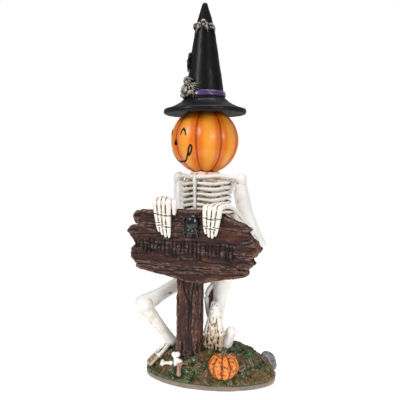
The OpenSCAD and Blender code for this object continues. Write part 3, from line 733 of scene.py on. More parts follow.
def build_small_pumpkin():
    low, high = box("small_pumpkin")
    x, y = (low + high)[:2] / 2
    radius, top = (high - low)[0] / 2, high[2]
    outline = [(0, 1.6), (0.22, 0.9), (0.45, 0), (0.75, 1.6), (0.95, 5), (1, 8.5), (0.93, 12), (0.7, 15.4),
               (0.4, 17), (0, 16.6)]
    profile = [(radius * out, top - down) for out, down in outline]
    skin = plain("small_pumpkin", turned(profile, (x, y), 200, 6))
    away = skin.points[:, :2] - (x, y)
    around = np.arctan2(away[:, 1], away[:, 0])
    rib = np.abs(np.sin(around * 5 + 0.4)) ** 0.6
    out = np.hypot(*away.T) / radius
    skin.points[:, :2] -= away * ((1 - rib) * 0.13)[:, None]
    skin.points[:, 2] -= (1 - rib) * 0.9 * out * (skin.points[:, 2] > top - 6)
    skin.push(0.4 * lumps(skin.points, 2.6, 51))
    skin.mark("rib", rib * 0.9)
    skin.mark("seam", (1 - rib) ** 2 * 1.6)
    skin.piece(small_orange, ["small_pumpkin"], "pumpkin_small", 0.5)
    low, high = box("small_pumpkin_stem")
    x, y = (low + high)[:2] / 2
    stem = fused("small_pumpkin_stem", [rod([(x, y, low[2] - 1.2, 2.3), (x, y, low[2] + 0.6, 1.7),
                                             (x - 0.3, y, high[2] - 1.4, 1.5)])], 0.25, 1)
    around = np.arctan2(stem.points[:, 1] - y, stem.points[:, 0] - x)
    stem.push(0.2 * np.cos(around * 6)).piece(stem_paint, ["small_pumpkin_stem"], "pumpkin_stem", 0.25)


# ---- sign ----


def build_sign():
    """Four weathered planks and their post, split and frayed at the ends."""
    for seed, name in enumerate(("top", "upper", "lower", "bottom")):
        node = "sign_plank_" + name
        skin = fused(node, [cad(node)], 0.55, 1)
        ends = np.clip((np.abs(skin.points[:, 0] + 2.6) - 36) / 14, 0, 1)
        skin.push(ends * 0.9 * lumps(skin.points * (0.5, 1, 1.4), 3.2, 60 + seed, 2))
        grain_push(skin, 0, 2.1, 0.42, 70 + seed * 3).relax(1)
        skin.piece(plank_paint, [node], "sign_brown", 0.55)
    skin = fused("sign_post", [cad("sign_post")], 0.55, 1)
    foot = np.clip((34 - skin.points[:, 2]) / 14, 0, 1)
    skin.push(foot * 1.1 * lumps(skin.points * (1, 1, 0.25), 3, 80, 2))
    grain_push(skin, 2, 2.6, 0.6, 82).relax(1).piece(post_paint, ["sign_post"], "sign_brown", 0.55)


def build_gouges():
    """Rows of plain claw-like scratches across the sign, painted black."""
    forms, rng = [], np.random.default_rng(11)
    for i in range(26):
        x = -47.2 + i * 3.14 + rng.uniform(-0.4, 0.4)
        tall, lean = rng.uniform(7.5, 12.5), rng.uniform(-0.08, 0.08)
        centre = 104.6 - i * 0.09 + rng.uniform(-1.4, 1.4)
        wide = rng.uniform(0.7, 1.0)
        bow = rng.uniform(-0.6, 0.6)
        stations = []
        for t in np.linspace(-1, 1, 7):
            thick = wide * (1 - 0.7 * max(0.0, t * t * t)) * (0.75 + 0.25 * math.sin(3 * t + i))
            stations.append((x + lean * tall / 2 * t + bow * (1 - t * t), SIGN_FRONT - 0.15,
                             centre + tall / 2 * t, max(thick, 0.16)))
        forms.append(rod(stations, 3, 10, 0.7, (0, 1, 0)))
    skin = plain("sign_gouges", join(forms))
    worn(skin, 1.2, 0.2, 91).piece(line_paint, [], "hat_black", 0.5)


def build_spider():
    """A round glossy body, a head with two eyes, and eight bent legs."""
    y = SIGN_FRONT
    body = [blob((0.3, y - 1.2, 123.2), (5.3, 4.6, 6.0)), blob((-1.4, y - 1.2, 116.2), (3.5, 3.2, 3.3)),
            blob((-2.6, y - 2.6, 113.9), (1.4, 1.4, 1.5)), blob((-0.5, y - 2.6, 113.7), (1.4, 1.4, 1.5))]
    for side in (-1, 1):
        for i, (reach, tip) in enumerate(((5.0, 7.4), (5.6, 3.2), (5.6, -1.6), (4.8, -4.6))):
            root = (-1.4 + side * 2.6, y - 1.4, 117.6 - i * 0.9)
            knee = (-1.2 + side * reach, y - 2.0, 118.4 + tip * 0.55)
            end = (-1.2 + side * (reach + 0.6), y + 0.2, 117 + tip * 1.15)
            body.append(rod([root + (0.75,), knee + (0.7,), end + (0.5,)], 5, 10))
    skin = fused("spider_body", body, 0.3, 2)
    skin.push(0.06 * lumps(skin.points, 2, 95)).piece(spider_paint, ["spider_body"], "spider_black", 0.3)


# ---- skeleton ----


def bone(name, forms, finish=white_bone, grain=0.45, relax=2, seed=1, depth=0.16):
    """A bone fused from forms, which stands for the CAD node of its name."""
    skin = fused(name, forms, grain, relax)
    worn(skin, 4.5, depth, seed).piece(finish, [name], "bone_white", grain)


def shaded_side(side):
    """The bone paint of a side: the figure's right gets the darker paint, partly heavier wash and partly
    painted shade.
    """
    return shaded_washed_bone if side < 0 else white_bone


def build_ribs():
    """Six ribs a side, which dip in front and rise towards the spine."""
    for name, side in SIDES.items():
        forms = []
        for i in range(6):
            stations = []
            for a in np.linspace(7, 172, 16):
                out, back = math.sin(math.radians(a)), -math.cos(math.radians(a))
                lift = 0.9 - 1.7 * math.exp(-(((a - 42) / 26) ** 2)) + 2.3 * (a / 172) ** 2
                thick = 1.5 + 0.2 * math.sin(a * 0.11 + i) - 0.35 * math.exp(-(((a - 12) / 10) ** 2))
                height = 130.2 + i * 4.15 + lift * (1.15 - 0.1 * i)
                stations.append(in_chest(side * 19.5 * out, 15.2 * back, height) + (thick,))
            forms.append(rod(stations, 3, 14, 0.9, (0, 0, 1)))
        bone("ribs_" + name, forms, shaded_side(side), 0.42, 1, 5 + side, 0.12)


def build_chest():
    """The pitted resin inside the ribs, the breastbone, and the collar under the head."""
    core = fused("chest_core", [cad("chest_core")], 0.6, 3)
    pits = lumps(core.points * (1, 1, 1.6), 5.5, 31, 3)
    core.push(0.9 * np.clip(pits, -0.6, 0.5) - 0.2)
    core.piece(core_paint, ["chest_core"], "bone_wash", 0.6, 1.3)
    strip = [in_chest(0, -16.2, z) + (r,) for z, r in
             ((132.4, 2.0), (135, 2.6), (141, 2.4), (148, 2.6), (153.6, 3.0), (156, 2.8))]
    forward = (in_chest(0, -1, 0)[0], -1, 0)
    bone("sternum", [rod(strip, 4, 20, 0.45, forward)], grain=0.4, seed=9)
    collar = fused("neck_collar", [cad("neck_collar")], 0.45, 2)
    collar.push(0.8 * lumps(collar.points, 5, 33) + 0.1)
    collar.piece(collar_paint, ["neck_collar"], "bone_wash", 0.45, 1.2)


def build_shoulders():
    """Collar bones bent round the chest to each shoulder, and the shoulder blades."""
    for name, side in SIDES.items():
        bend = {"left": (9, -6.2, 157.1), "right": (-21, -1, 157.1)}[name]
        start = in_chest(side * 2.6, -15.2, 156.4)
        end = mid(bend, SHOULDER[name], 0.86, (0, 0, 0.6))
        half_way = mid(start, bend, 0.5, (0, -0.8, -0.4))
        line = [start + (2.0,), half_way + (1.55,), bend + (1.7,), mid(bend, end, 0.55) + (1.6,),
                end + (2.1,)]
        bone("collar_bone_" + name, [rod(line, 6, 18)], grain=0.4, seed=12)
        node = "shoulder_blade_" + name
        bone(node, [cad(node)], grain=0.5, relax=6, seed=14)


def build_spine():
    """Vertebrae with a spur behind and one to each side, threaded on a core."""
    chest = []
    for i in range(7):
        z = 129 + i * 4.1
        chest.append(blob(in_chest(0, 15.6, z), (3.3, 3.0, 1.75)))
        chest.append(rod([in_chest(0, 17, z) + (1.3,), in_chest(0, 19.4, z - 1.6) + (0.8,)], 3, 12))
        for side in (-1, 1):
            spur = [in_chest(0, 16, z) + (1.2,), in_chest(side * 4.6, 16.6, z + 0.5) + (0.9,)]
            chest.append(rod(spur, 3, 12))
    chest.append(rod([in_chest(0, 15.2, 128) + (2.4,), in_chest(0, 15.2, 154) + (2.4,)], 4, 16))
    bone("thoracic_spine", chest, shaded_washed_bone, seed=16)
    low, high = box("lumbar_spine")
    x, y = (low[0] + high[0]) / 2, (low[1] + high[1]) / 2
    loin = []
    for i in range(6):
        z = low[2] + (high[2] - low[2]) * ((i + 0.5) / 6)
        loin.append(blob((x, y, z), (3.9, 3.6, 2.6)))
        loin.append(rod([(x, y + 3, z, 1.4), (x, y + 5.4, z - 1.4, 0.9)], 3, 12))
        for side in (-1, 1):
            loin.append(rod([(x, y, z, 1.3), (x + side * 5.2, y + 0.8, z, 0.9)], 3, 12))
    loin.append(rod([(x, y, low[2] + 2, 3.0), (x, y, high[2] - 2, 3.0)], 4, 18))
    bone("lumbar_spine", loin, shaded_washed_bone, seed=18)


def build_pelvis():
    """A bowl of bone with a wing and a hollow on each side."""
    low, high = box("pelvis")
    x, y, z = (low + high) / 2
    forms = [cad("pelvis")]
    for side in (-1, 1):
        forms += [blob((x + side * 7.5, y - 1, z + 4), (6.2, 3.4, 7), (0, side * 28, side * 24)),
                  rod([(x + side * 10.5, y - 3, z + 7.5, 1.5), (x + side * 12, y - 1, z + 2, 1.9),
                       (x + side * 8, y + 1, z - 6, 2.2)], 5, 14)]
    skin = fused("pelvis", forms, 0.5, 6)
    for side in (-1, 1):
        skin.push(-1.6 * skin.near((x + side * 4.5, high[1] - 4, z - 4), 2.6))
    skin.points = np.clip(skin.points, low - 1, high + 1)
    worn(skin, 4, 0.25, 19).piece(shaded_washed_bone, ["pelvis"], "bone_white", 0.5)


def build_arms():
    for name, side in SIDES.items():
        shoulder, elbow, wrist = SHOULDER[name], ELBOW[name], WRIST[name]
        inner = (-side * 6.4, -1.8, 0)
        shaft = [(t, radius, (-side * bow, 0, 0)) for t, radius, bow in
                 ((0.12, 4.6, 1.6), (0.28, 5.6, 3.0), (0.55, 5.4, 3.6), (0.82, 4.9, 1.8), (0.97, 4.8, 0.3))]
        upper = [
            rod(along(shoulder, elbow, (0, 4.3), (0.05, 4.0)), 3, 24),
            rod(along(shoulder, elbow, *shaft), 6, 28),
            rod(along(shoulder, elbow, (0.16, 2.0, inner), (0.5, 3.2, inner), (0.86, 2.2, inner)), 6, 18),
            blob(moved(elbow, side * 1.2, 1, 0), 3.6),
            blob(moved(elbow, -side * 1.6, -1, 0), 3.4),
        ]
        bone("humerus_" + name, upper, seed=21)
        lower = []
        for shift, thick in ((2.1, 1.0), (-2.0, 0.9)):
            line = [(t, radius * thick, (0, 0, shift * share)) for t, radius, share in
                    ((0.02, 3.5, 0.5), (0.25, 2.8, 1), (0.7, 2.5, 1), (0.97, 3.0, 0.7))]
            lower.append(rod(along(elbow, wrist, *line), 6, 20))
        lower.append(rod(along(elbow, wrist, (0.05, 2.6), (0.95, 2.2)), 4, 16))
        lower.append(blob(mid(elbow, wrist, -0.03, (side * 0.8, 1.2, -1)), 4.2))
        bone("forearm_" + name, lower, shaded_side(side), seed=23)


def finger_lines(name):
    """Knuckle and tip of each finger of a hand."""
    if name == "left":
        first, pitch, lift = 10.9, 3.9, 1.8
        tips = ((11.0, 115.2), (13.5, 112.8), (16.0, 112.0), (18.5, 113.6))
    else:
        first, pitch, lift = -29.4, 3.6, 5.4
        tips = ((-26.6, 115.6), (-23.9, 113.2), (-21.2, 111.4), (-18.4, 111.2))
    return [((first + pitch * i, SIGN_FRONT - 2.15, SIGN_TOP + lift), (x, SIGN_FRONT - 1.5, z))
            for i, (x, z) in enumerate(tips)]


FINGER_STOPS = ((0.05, 2.1), (0.16, 2.0), (0.3, 1.95), (0.38, 2.1), (0.46, 1.9), (0.62, 1.75), (0.7, 1.95),
                (0.77, 1.6), (0.9, 1.35), (0.98, 0.85))
JOINTS = (0.02, 0.38, 0.7)


def cut_joint(skin, knuckle, tip, t):
    """A narrow groove across one finger."""
    joint = np.array(mid(knuckle, tip, t, (0, -0.6, 0)))
    way = (np.array(tip) - knuckle) / np.linalg.norm(np.array(tip) - knuckle)
    gap = skin.points - joint
    ahead = gap @ way
    beside = np.linalg.norm(gap - np.outer(ahead, way), axis=1)
    skin.push(-0.7 * np.exp(-((ahead / 0.36) ** 2)) * (beside < 2.9))


def build_hands():
    """Hands that arch over the sign's top edge, with their fingers down its face."""
    for name, side in SIDES.items():
        wrist, lines = WRIST[name], finger_lines(name)
        back, fingers = [], []
        for i, (knuckle, tip) in enumerate(lines):
            root = moved(wrist, (i - 1.5) * 1.7, -1.2, 1.0)
            arch = (0.4, 1.2, 1.2, 0.4)[i] + (1.2 if side > 0 else 2.4)
            back.append(rod([root + (2.1,), mid(root, knuckle, 0.5, (0, 0, 0.7 + arch)) + (2.05,),
                             mid(root, knuckle, 0.86, (0, 0, arch * 0.7)) + (2.05,),
                             mid(knuckle, tip, 0.03, (0, 0, arch * 0.2)) + (2.15,)], 6, 18))
            line = []
            for t, radius in FINGER_STOPS:
                bulge = 0.9 * math.sin(math.pi * min(1.0, t * 1.1))
                line.append((t, radius, (0, -bulge * 0.4, 0)))
            fingers.append(rod(along(knuckle, tip, *line), 4, 18))
        back.append(blob(mid(wrist, lines[1][0], 0.45, (1, 0, -0.8)), (6.2, 8.5, 1.8), (0, 0, side * -14)))
        back.append(blob(moved(wrist, 0, -0.5, 0), (4.3, 3.4, 3.0)))
        palm = fused("palm_" + name, back, 0.36, 1)
        worn(palm, 3, 0.12, 25).piece(hand_bone, ["palm_" + name], "bone_white", 0.36)
        skin = fused("fingers_" + name, fingers, 0.32, 1)
        for knuckle, tip in lines:
            for t in JOINTS:
                cut_joint(skin, knuckle, tip, t)
        worn(skin, 3, 0.1, 26).piece(hand_bone, ["fingers_" + name], "bone_white", 0.32, 1.2)


def build_thumbs():
    left = [moved(WRIST["left"], -2, 0, -1.5) + (1.9,), (19, -21.8, 127, 1.9), (16, -22.4, 122, 1.7),
            (13, -22.7, 118, 1.4)]
    bone("thumb_left", [rod(left, 6, 16)], hand_bone, 0.36, seed=27)
    knuckle = finger_lines("right")[3][0]
    right = [moved(knuckle, x, y, z) + (radius,) for x, y, z, radius in
             ((-1.2, 9, 0.6, 2.0), (3.2, 3.5, 0.6, 2.2), (4.7, 0.3, -0.8, 2.1), (4.9, 0.2, -4.4, 1.8),
              (4.6, 0.4, -8, 1.5))]
    bone("thumb_right", [rod(right, 6, 18)], hand_bone, 0.36, seed=28)


def build_legs():
    for name, side in SIDES.items():
        hip, knee, ankle = HIP[name], KNEE[name], ANKLE[name]
        thigh = [
            rod(along(hip, knee, (0, 6.4), (0.08, 5.6)), 3, 24),
            rod(along(hip, knee, (0.1, 5.0), (0.3, 5.4), (0.6, 5.4), (0.85, 6.6), (0.98, 7.6)), 6, 28),
            blob(mid(hip, knee, 0.12, (side * 3.4, 0, 1.5)), 3.2),
        ]
        thigh += [blob(mid(hip, knee, 0.99, (s * 2.4 * 0.8, -s * 2.4 * 0.6, 0.4)), 6.2) for s in (-1, 1)]
        skin = fused("femur_" + name, thigh, 0.5, 2)
        if name == "right":
            crack = mid(hip, knee, 0.46, (1.8, -4.9, -2.2))
            skin.push(-2.0 * skin.near(crack, (1.9, 1.6, 0.7)) * (1 + lumps(skin.points, 1.2, 44)))
        worn(skin, 6, 0.2, 31).piece(white_bone, ["femur_" + name], "bone_white", 0.5)
        top = 6.5 if name == "left" else 5.9
        stops = ((0.04, top), (0.3, top - 0.6), (0.65, top - 1.6), (0.9, 4.2), (1.0, 4.6))
        shin = [rod(along(knee, ankle, *stops), 6, 28)]
        shin += [blob(mid(knee, ankle, 0.1, (s * 1.9, s * 0.8, 0)), top - 1.2) for s in (-1, 1)]
        bone("shin_" + name, shin, shaded_side(side), 0.5, seed=33, depth=0.22)
    splint = [moved(KNEE["left"], -5.5, -1, -4) + (2.0,), (-1.6, -1.7, 65, 1.9), (-1.4, -1.4, 51, 1.9),
              moved(ANKLE["left"], -2.5, -0.4, 1.5) + (2.1,)]
    bone("fibula_left", [rod(splint, 8, 16)], grain=0.4, seed=35)
    # painted shade: a dark sheet between fibula and shin, standing for the shadow in that gap
    gap_shade = fused("fibula_gap_shade", [blob((1.6, 1.2, 57), (4.2, 1.8, 17))], 0.45)
    worn(gap_shade, 4.5, 0.5, 36).piece(shadow_paint, [], "toe_wash", 0.45)


def foot_cracks(skin, ways, seed, depth):
    """Long fine cracks that the wash has filled."""
    lines = np.abs(lumps(skin.points * ways, 1.7, seed, 2))
    return skin.push(-depth * np.clip(1 - lines / 0.22, 0, 1))


# The left foot's five rays and toes: the middle ray's x, the gap between rays, y, z and radius
RAY_STOPS = ((8.1, 0.9, -8.6, 58.6, 1.9), (8.2, 1.4, -10.8, 50, 2.2), (8.3, 2.4, -12.4, 42, 2.4),
             (8.3, 3.0, -12.8, 36.9, 2.3))
TOE_STOPS = ((8.3, 3.0, -12.9, 34.6, 2.1), (8.3, 3.0, -13.6, 31.5, 1.9), (8.3, 2.95, -13.9, 29, 2.1),
             (8.3, 2.9, -13.9, 26.4, 1.8), (8.3, 2.8, -13.7, 24.2, 1.5))
RAYS = range(-2, 3)


def build_left_foot():
    """The foot that hangs toes down, with a brown wash over its toes."""
    forms = [blob((8.3, -9.9, 45), (6.0, 4.6, 14)), blob((8.3, -11.0, 39.5), (7.8, 4.3, 7))]
    forms += [rod([(x + gap * i, y, z, radius) for x, gap, y, z, radius in RAY_STOPS], 6, 16) for i in RAYS]
    skin = fused("foot_left", forms, 0.4, 1)
    foot_cracks(skin, (1, 0.6, 0.16), 51, 0.24)
    low = np.clip((43.5 - skin.points[:, 2]) / 3, 0, 1)
    skin.stain = low * np.clip(0.6 + 0.6 * lumps(skin.points, 2.2, 55), 0, 1)
    worn(skin, 3, 0.2, 36).piece(shaded_washed_bone, ["foot_left"], "bone_white", 0.4, 1.2)
    toes = [rod([(x + gap * i, y, z, radius) for x, gap, y, z, radius in TOE_STOPS], 5, 16) for i in RAYS]
    toes.append(blob((8.3, -12.9, 30.5), (7.6, 3.1, 6.2)))
    skin = fused("toes_left", toes, 0.4, 1)
    skin.push(0.5 * lumps(skin.points, 2.2, 52, 2) - 0.15)
    skin.piece(toe_paint, ["toes_left"], "toe_wash", 0.4, 1.4)


def build_right_foot():
    """The foot that stands on the mound, its rays fanned out."""
    ankle, base, tip = ANKLE["right"], (-37.5, -18.2, 16.5), (-42.5, -22.6, 10.5)
    forms, toes = [rod(along(ankle, base, (0.1, 3.0), (0.8, 2.4)), 4, 18)], []

    def ray(a, b, i, *stops):
        line = [(t, radius, (fan * (0.66 * i), fan * (-0.75 * i), 0.0)) for t, radius, fan in stops]
        return along(a, b, *line)

    for i in RAYS:
        forms.append(rod(ray(ankle, base, i, (0.05, 1.8, 0.7), (0.5, 1.7, 1.5), (0.97, 1.6, 2.2)), 6, 14))
        toes.append(rod(ray(base, tip, i, (0.0, 1.4, 2.2), (0.5, 1.35, 2.3), (0.97, 1.1, 2.3)), 5, 14))
    skin = fused("foot_right", forms, 0.38, 1)
    foot_cracks(skin, (0.5, 0.5, 0.5), 53, 0.2)
    skin.stain = np.clip(0.25 + 0.6 * lumps(skin.points, 2.5, 56), 0, 0.7)
    worn(skin, 3, 0.2, 37).piece(shaded_washed_bone, ["foot_right"], "bone_white", 0.38, 1.3)
    skin = fused("toes_right", toes, 0.36, 1)
    skin.push(0.3 * lumps(skin.points, 2, 54, 2)).piece(toe_paint, ["toes_right"], "toe_wash", 0.36, 1.2)


# ---- head ----

FACE = -38.0  # degrees that the face is turned from the front
RIBS = 8
EYE = [(15.6, 8.2, 0.6), (17.6, 14.5, 0.8), (20.6, 17.8, 0.95), (24.6, 14.2, 0.85), (26.8, 7.6, 0.65)]
MOUTH_END = [(14.0, -38.4, 0.85), (21, -33, 0.8), (27.5, -24, 0.8), (31.2, -15.5, 0.8), (34.2, -9.8, 0.75),
             (36.6, -10.4, 0.7), (36.6, -15.5, 0.7), (33.4, -22.5, 0.75), (28.6, -27.0, 0.8)]
MOUTH = [(-15.5, -37.2, 0.8), (-8, -39.5, 0.95), (0, -40.4, 1.0), (8, -39.5, 0.95), (15.5, -37.2, 0.8)]
NOSE = [(-4.6, -7.0, 0.9), (-2.0, -1.0, 0.9), (0, 1.6, 0.8), (2.0, -1.0, 0.9), (4.6, -7.0, 0.9),
        (0, -7.6, 1.0), (-3, -6.4, 0.9), (0, -3.5, 1.0)]


def head_radius(around, up):
    """How far the pumpkin's skin is from its middle, at angles in degrees round from the front and up."""
    rib = np.abs(np.sin(np.radians((around - FACE) * RIBS / 2)))
    lobe = rib**0.55
    reach = np.cos(np.radians(up)) ** 0.4
    low = np.clip(-up / 90, 0, 1)
    return HEAD_RADIUS * (1 - 0.065 * (1 - lobe) * reach - 0.02 * low), rib


def on_head(around, up, lift):
    """A place on the pumpkin, in degrees round from the face and up, and lifted off it."""
    around = around + FACE
    r = float(head_radius(np.array(around), np.array(up))[0]) + lift
    a, e = math.radians(around), math.radians(up)
    return (HEAD[0] + r * math.sin(a) * math.cos(e), HEAD[1] - r * math.cos(a) * math.cos(e),
            HEAD[2] + r * math.sin(e))


def build_head():
    """A ribbed pumpkin, with how high each point lies on its rib marked for the paint."""
    rings = [np.array([[HEAD[0], HEAD[1], HEAD[2] - HEAD_RADIUS * 0.94]])]
    ribs = [[0.4]]
    turns = np.arange(288) * 360 / 288
    for up in np.linspace(-87, 87, 120):
        r, rib = head_radius(turns, np.full(len(turns), up))
        a, e = np.radians(turns), math.radians(up)
        rings.append(np.stack([HEAD[0] + r * np.sin(a) * math.cos(e), HEAD[1] - r * np.cos(a) * math.cos(e),
                               HEAD[2] + r * math.sin(e)], 1))
        ribs.append(rib)
    rings.append(np.array([[HEAD[0], HEAD[1], HEAD[2] + HEAD_RADIUS * 0.95]]))
    ribs.append([0.4])
    skin = plain("pumpkin_head", rings_of(rings))
    rib = np.concatenate(ribs)
    skin.push(0.16 * lumps(skin.points, 8, 61) + 0.05 * lumps(skin.points, 2.5, 62))
    skin.mark("rib", rib**1.5)
    skin.mark("seam", np.clip(1 - rib / 0.3, 0, 1) ** 1.3)
    skin.piece(head_orange, ["pumpkin_head"], "pumpkin_orange", 0.7)


def build_face():
    """Raised black lines: two arched eyes, a small nose and a wide smile with looped ends."""
    strokes = [(line, side) for side in (-1, 1) for line in (EYE, MOUTH_END)] + [(MOUTH, 1), (NOSE, 1)]
    forms = []
    for points, side in strokes:
        line = curve([(a * side, e, r) for a, e, r in points], 5)
        stations = [on_head(a, e, -0.35) + (r,) for a, e, r in line]
        forms.append(rod(stations, 1, 10))
    skin = fused("face_lines", forms, 0.22, 1)
    skin.push(0.06 * lumps(skin.points, 1.5, 63)).piece(line_paint, [], "hat_black", 0.22)


# ---- hat ----

band_low, band_high = box("hat_band")
crown_low, crown_high = box("hat_crown")
brim_low, brim_high = box("hat_brim")
HAT = (float(HEAD[0]), float(HEAD[1]))
CROWN_RADIUS = float(crown_high[0] - crown_low[0]) / 2
CROWN_LOW = float(crown_low[2])
CROWN_TALL = float(crown_high[2] - crown_low[2])
# Outlines: the crown's in shares of its radius and height, the brim's in shares of its radius and heights in
# mm, and the band's in mm off the crown and shares of the band's height
CROWN = [(1, 0), (0.9, 0.085), (0.77, 0.3), (0.605, 0.53), (0.49, 0.7), (0.355, 0.82), (0.15, 0.97),
         (0.09, 1)]
BRIM_UNDER = [(0, 4.6), (0.5, 4.0), (0.75, 2.2), (0.9, 0.6), (0.955, 0.1), (0.99, 1.0)]
BRIM_OVER = [(1, 0), (0.985, 1.5), (0.94, 2.3), (0.86, 2.9), (0.72, 4.8), (0.6, 7.0)]
BAND = [(-1.4, 0.2), (0.3, 0.0), (0.95, 0.25), (0.75, 0.42), (1.05, 0.6), (0.8, 0.85), (0.1, 1.0),
        (-1.4, 0.8)]


def crown_reach(f):
    """The crown's radius at a share of its height."""
    return CROWN_RADIUS * np.interp(f, [p[1] for p in CROWN], [p[0] for p in CROWN])


def on_crown(around, f, lift=0.0):
    """A place on the crown: degrees round from the front, share of its height, and lift off it."""
    r, a = float(crown_reach(f)) + lift, math.radians(around)
    return (HAT[0] + r * math.sin(a), HAT[1] - r * math.cos(a), CROWN_LOW + f * CROWN_TALL)


def build_crown():
    wall = [(x * CROWN_RADIUS, CROWN_LOW + y * CROWN_TALL) for x, y in CROWN[:-1]]
    foot = [(0, CROWN_LOW), (CROWN_RADIUS * 0.6, CROWN_LOW)]
    point = ((0.13, 0.985), (0.07, 0.998), (0, 1))
    tip = [(CROWN_RADIUS * x, CROWN_LOW + y * CROWN_TALL) for x, y in point]
    line = foot + [tuple(p) for p in curve(wall, 8)] + tip
    skin = plain("hat_crown", turned(line, HAT, 144))
    skin.push(0.28 * lumps(skin.points, 12, 71) + 0.1 * lumps(skin.points, 3, 72))
    skin.piece(hat_paint, ["hat_crown"], "hat_black", 0.8)


def build_brim():
    reach = float(brim_high[0] - brim_low[0]) / 2
    low, high = float(brim_low[2]), float(brim_high[2])
    edge = low + 2.3
    profile = [(reach * x, low + z) for x, z in BRIM_UNDER] + [(reach * x, edge + z) for x, z in BRIM_OVER]
    profile += [(CROWN_RADIUS, high - 0.1), (CROWN_RADIUS * 0.6, high), (0, high)]
    skin = plain("hat_brim", turned(profile, HAT, 160, 5))
    skin.push(0.3 * lumps(skin.points, 15, 73) + 0.12 * lumps(skin.points, 4, 74))
    skin.piece(hat_paint, ["hat_brim"], "hat_black", 0.8)


def build_band():
    """A folded ribbon round the foot of the crown."""
    low, high = float(band_low[2]), float(band_high[2])
    points, count, folds = [], 120, len(BAND)
    for i in range(count):
        a = i * 3 * math.pi / 180
        for out, up in BAND:
            z = low + (high - low) * up
            r = float(crown_reach((z - CROWN_LOW) / CROWN_TALL)) + out + 0.15 * math.sin(a * 9 + up * 4)
            points.append((HAT[0] + r * math.sin(a), HAT[1] - r * math.cos(a), z))
    faces = []
    for i in range(count):
        here, there = i * folds, (i + 1) % count * folds
        for j in range(folds):
            k = (j + 1) % folds
            faces.append([here + j, here + k, there + k, there + j])
    work = bpy.data.objects.new("hat_band_maker", plain("hat_band_maker", (np.array(points), faces)).mesh)
    scene.collection.objects.link(work)
    work.modifiers.new("smooth", "SUBSURF").levels = 2
    Skin("hat_band", plain_mesh(work)).piece(band_paint, ["hat_band"], "hat_purple", 0.4)


def skull(around, f, size, lift):
    """A small skull looking outwards from the crown, and its two eye places."""
    jaw = on_crown(around, f - size * 0.0095, lift + size * 0.25)
    forms = [blob(on_crown(around, f, lift), size * 0.95), blob(jaw, (size * 0.62, size * 0.62, size * 0.6))]
    eyes = [(on_crown(around + s * size * 2.2, f - size * 0.001, lift + size * 0.85), size * 0.3)
            for s in (-1, 1)]
    eyes.append((on_crown(around, f - size * 0.007, lift + size * 0.95), size * 0.18))
    return forms, eyes


def feathers(around, f, spread, long, count, droop=0.03):
    """A fan of tapered feathers lying on the crown, to one side."""
    forms = []
    for i in range(count):
        t = i / max(1, count - 1)
        end = around + spread * (1 - 0.35 * t)
        forms.append(rod([on_crown(around, f, 1.0) + (1.0,),
                          on_crown(around + spread * 0.5, f + (0.5 - t) * long * 0.6, 1.6) + (0.95,),
                          on_crown(end, f + (0.4 - t) * long - droop, 0.8) + (0.55,)], 6, 10))
    return forms


def relief(name, forms, eyes, finish, slot, seed):
    """A raised ornament on the crown, with its eyes sunk and its height above the crown marked."""
    skin = fused(name, forms, 0.28, 1)
    for place, reach in eyes:
        skin.push(-1.2 * reach * skin.near(place, reach * 1.2))
    skin.push(0.14 * lumps(skin.points, 1.6, seed))
    f = (skin.points[:, 2] - CROWN_LOW) / CROWN_TALL
    out = np.hypot(skin.points[:, 0] - HAT[0], skin.points[:, 1] - HAT[1]) - crown_reach(f)
    skin.mark("high", out / 4.2)
    skin.piece(finish, [name], slot, 0.28)


def build_relief():
    """Skulls among feathers near the tip and by the band, and a black bump between them."""
    main, main_eyes = skull(14, 0.78, 2.5, 0.8)
    small, small_eyes = skull(54, 0.745, 2.0, 0.6)
    forms = main + small + feathers(14, 0.745, 34, 0.06, 3) + feathers(14, 0.745, -58, 0.09, 4)
    forms += feathers(54, 0.73, 34, 0.05, 3) + [blob(on_crown(-52, 0.745, 0.3), (2.2, 2.2, 3.2))]
    forms += [blob(on_crown(a, 0.74, -0.3), (2.4, 2.4, 3.0)) for a in (-30, -4, 30, 62)]
    relief("hat_skulls_upper", forms, main_eyes + small_eyes, silver, "hat_silver", 81)
    forms = [blob(on_crown(-72, 0.46, 0.3), 2.3), blob(on_crown(-72, 0.4, 0.5), 2.6),
             blob(on_crown(-74, 0.34, 0.1), 2.2)] + feathers(-72, 0.4, 26, 0.14, 3)
    relief("hat_side_bump", forms, [], hat_paint, "hat_black", 82)
    big, big_eyes = skull(-58, 0.075, 3.5, 1.4)
    upper, upper_eyes = skull(-50, 0.2, 2.8, 0.8)
    third, third_eyes = skull(-24, 0.1, 2.4, 0.5)
    forms = big + upper + third + feathers(-36, 0.1, 42, 0.13, 6, 0.02) + feathers(-56, 0.2, -26, 0.08, 3)
    forms += feathers(-62, 0.1, -30, 0.12, 4) + feathers(-46, 0.17, 30, 0.1, 4)
    backing = ((-60, 0.1, 4.4), (-40, 0.08, 3.8), (-22, 0.05, 3.0), (-58, 0.19, 3.6), (-82, 0.1, 3.8),
               (-42, 0.16, 3.0))
    forms += [blob(on_crown(a, f, 0.2), r) for a, f, r in backing]
    lowest = ((-80, 0.04, 0.6, 2.2, 3), (-46, 0.02, 1.2, 2.6, 1.8), (-28, 0.03, 0.4, 2.2, 1.6))
    forms += [blob(on_crown(a, f, lift), (wide, wide, tall)) for a, f, lift, wide, tall in lowest]
    relief("hat_skulls_lower", forms, big_eyes + upper_eyes + third_eyes, silver, "hat_silver", 83)


# ---- what stays CAD, the stage, light and camera ----


def dress_cad():
    """The hidden pins and the felt pad keep their CAD shape, and get their paint."""
    pins = {name: steel_paint for name in ("post_pin", "hat_pin", "neck_pin")}
    for node, finish in {"felt_pad": felt_paint, **pins}.items():
        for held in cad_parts[node].material_slots:
            held.material = finish


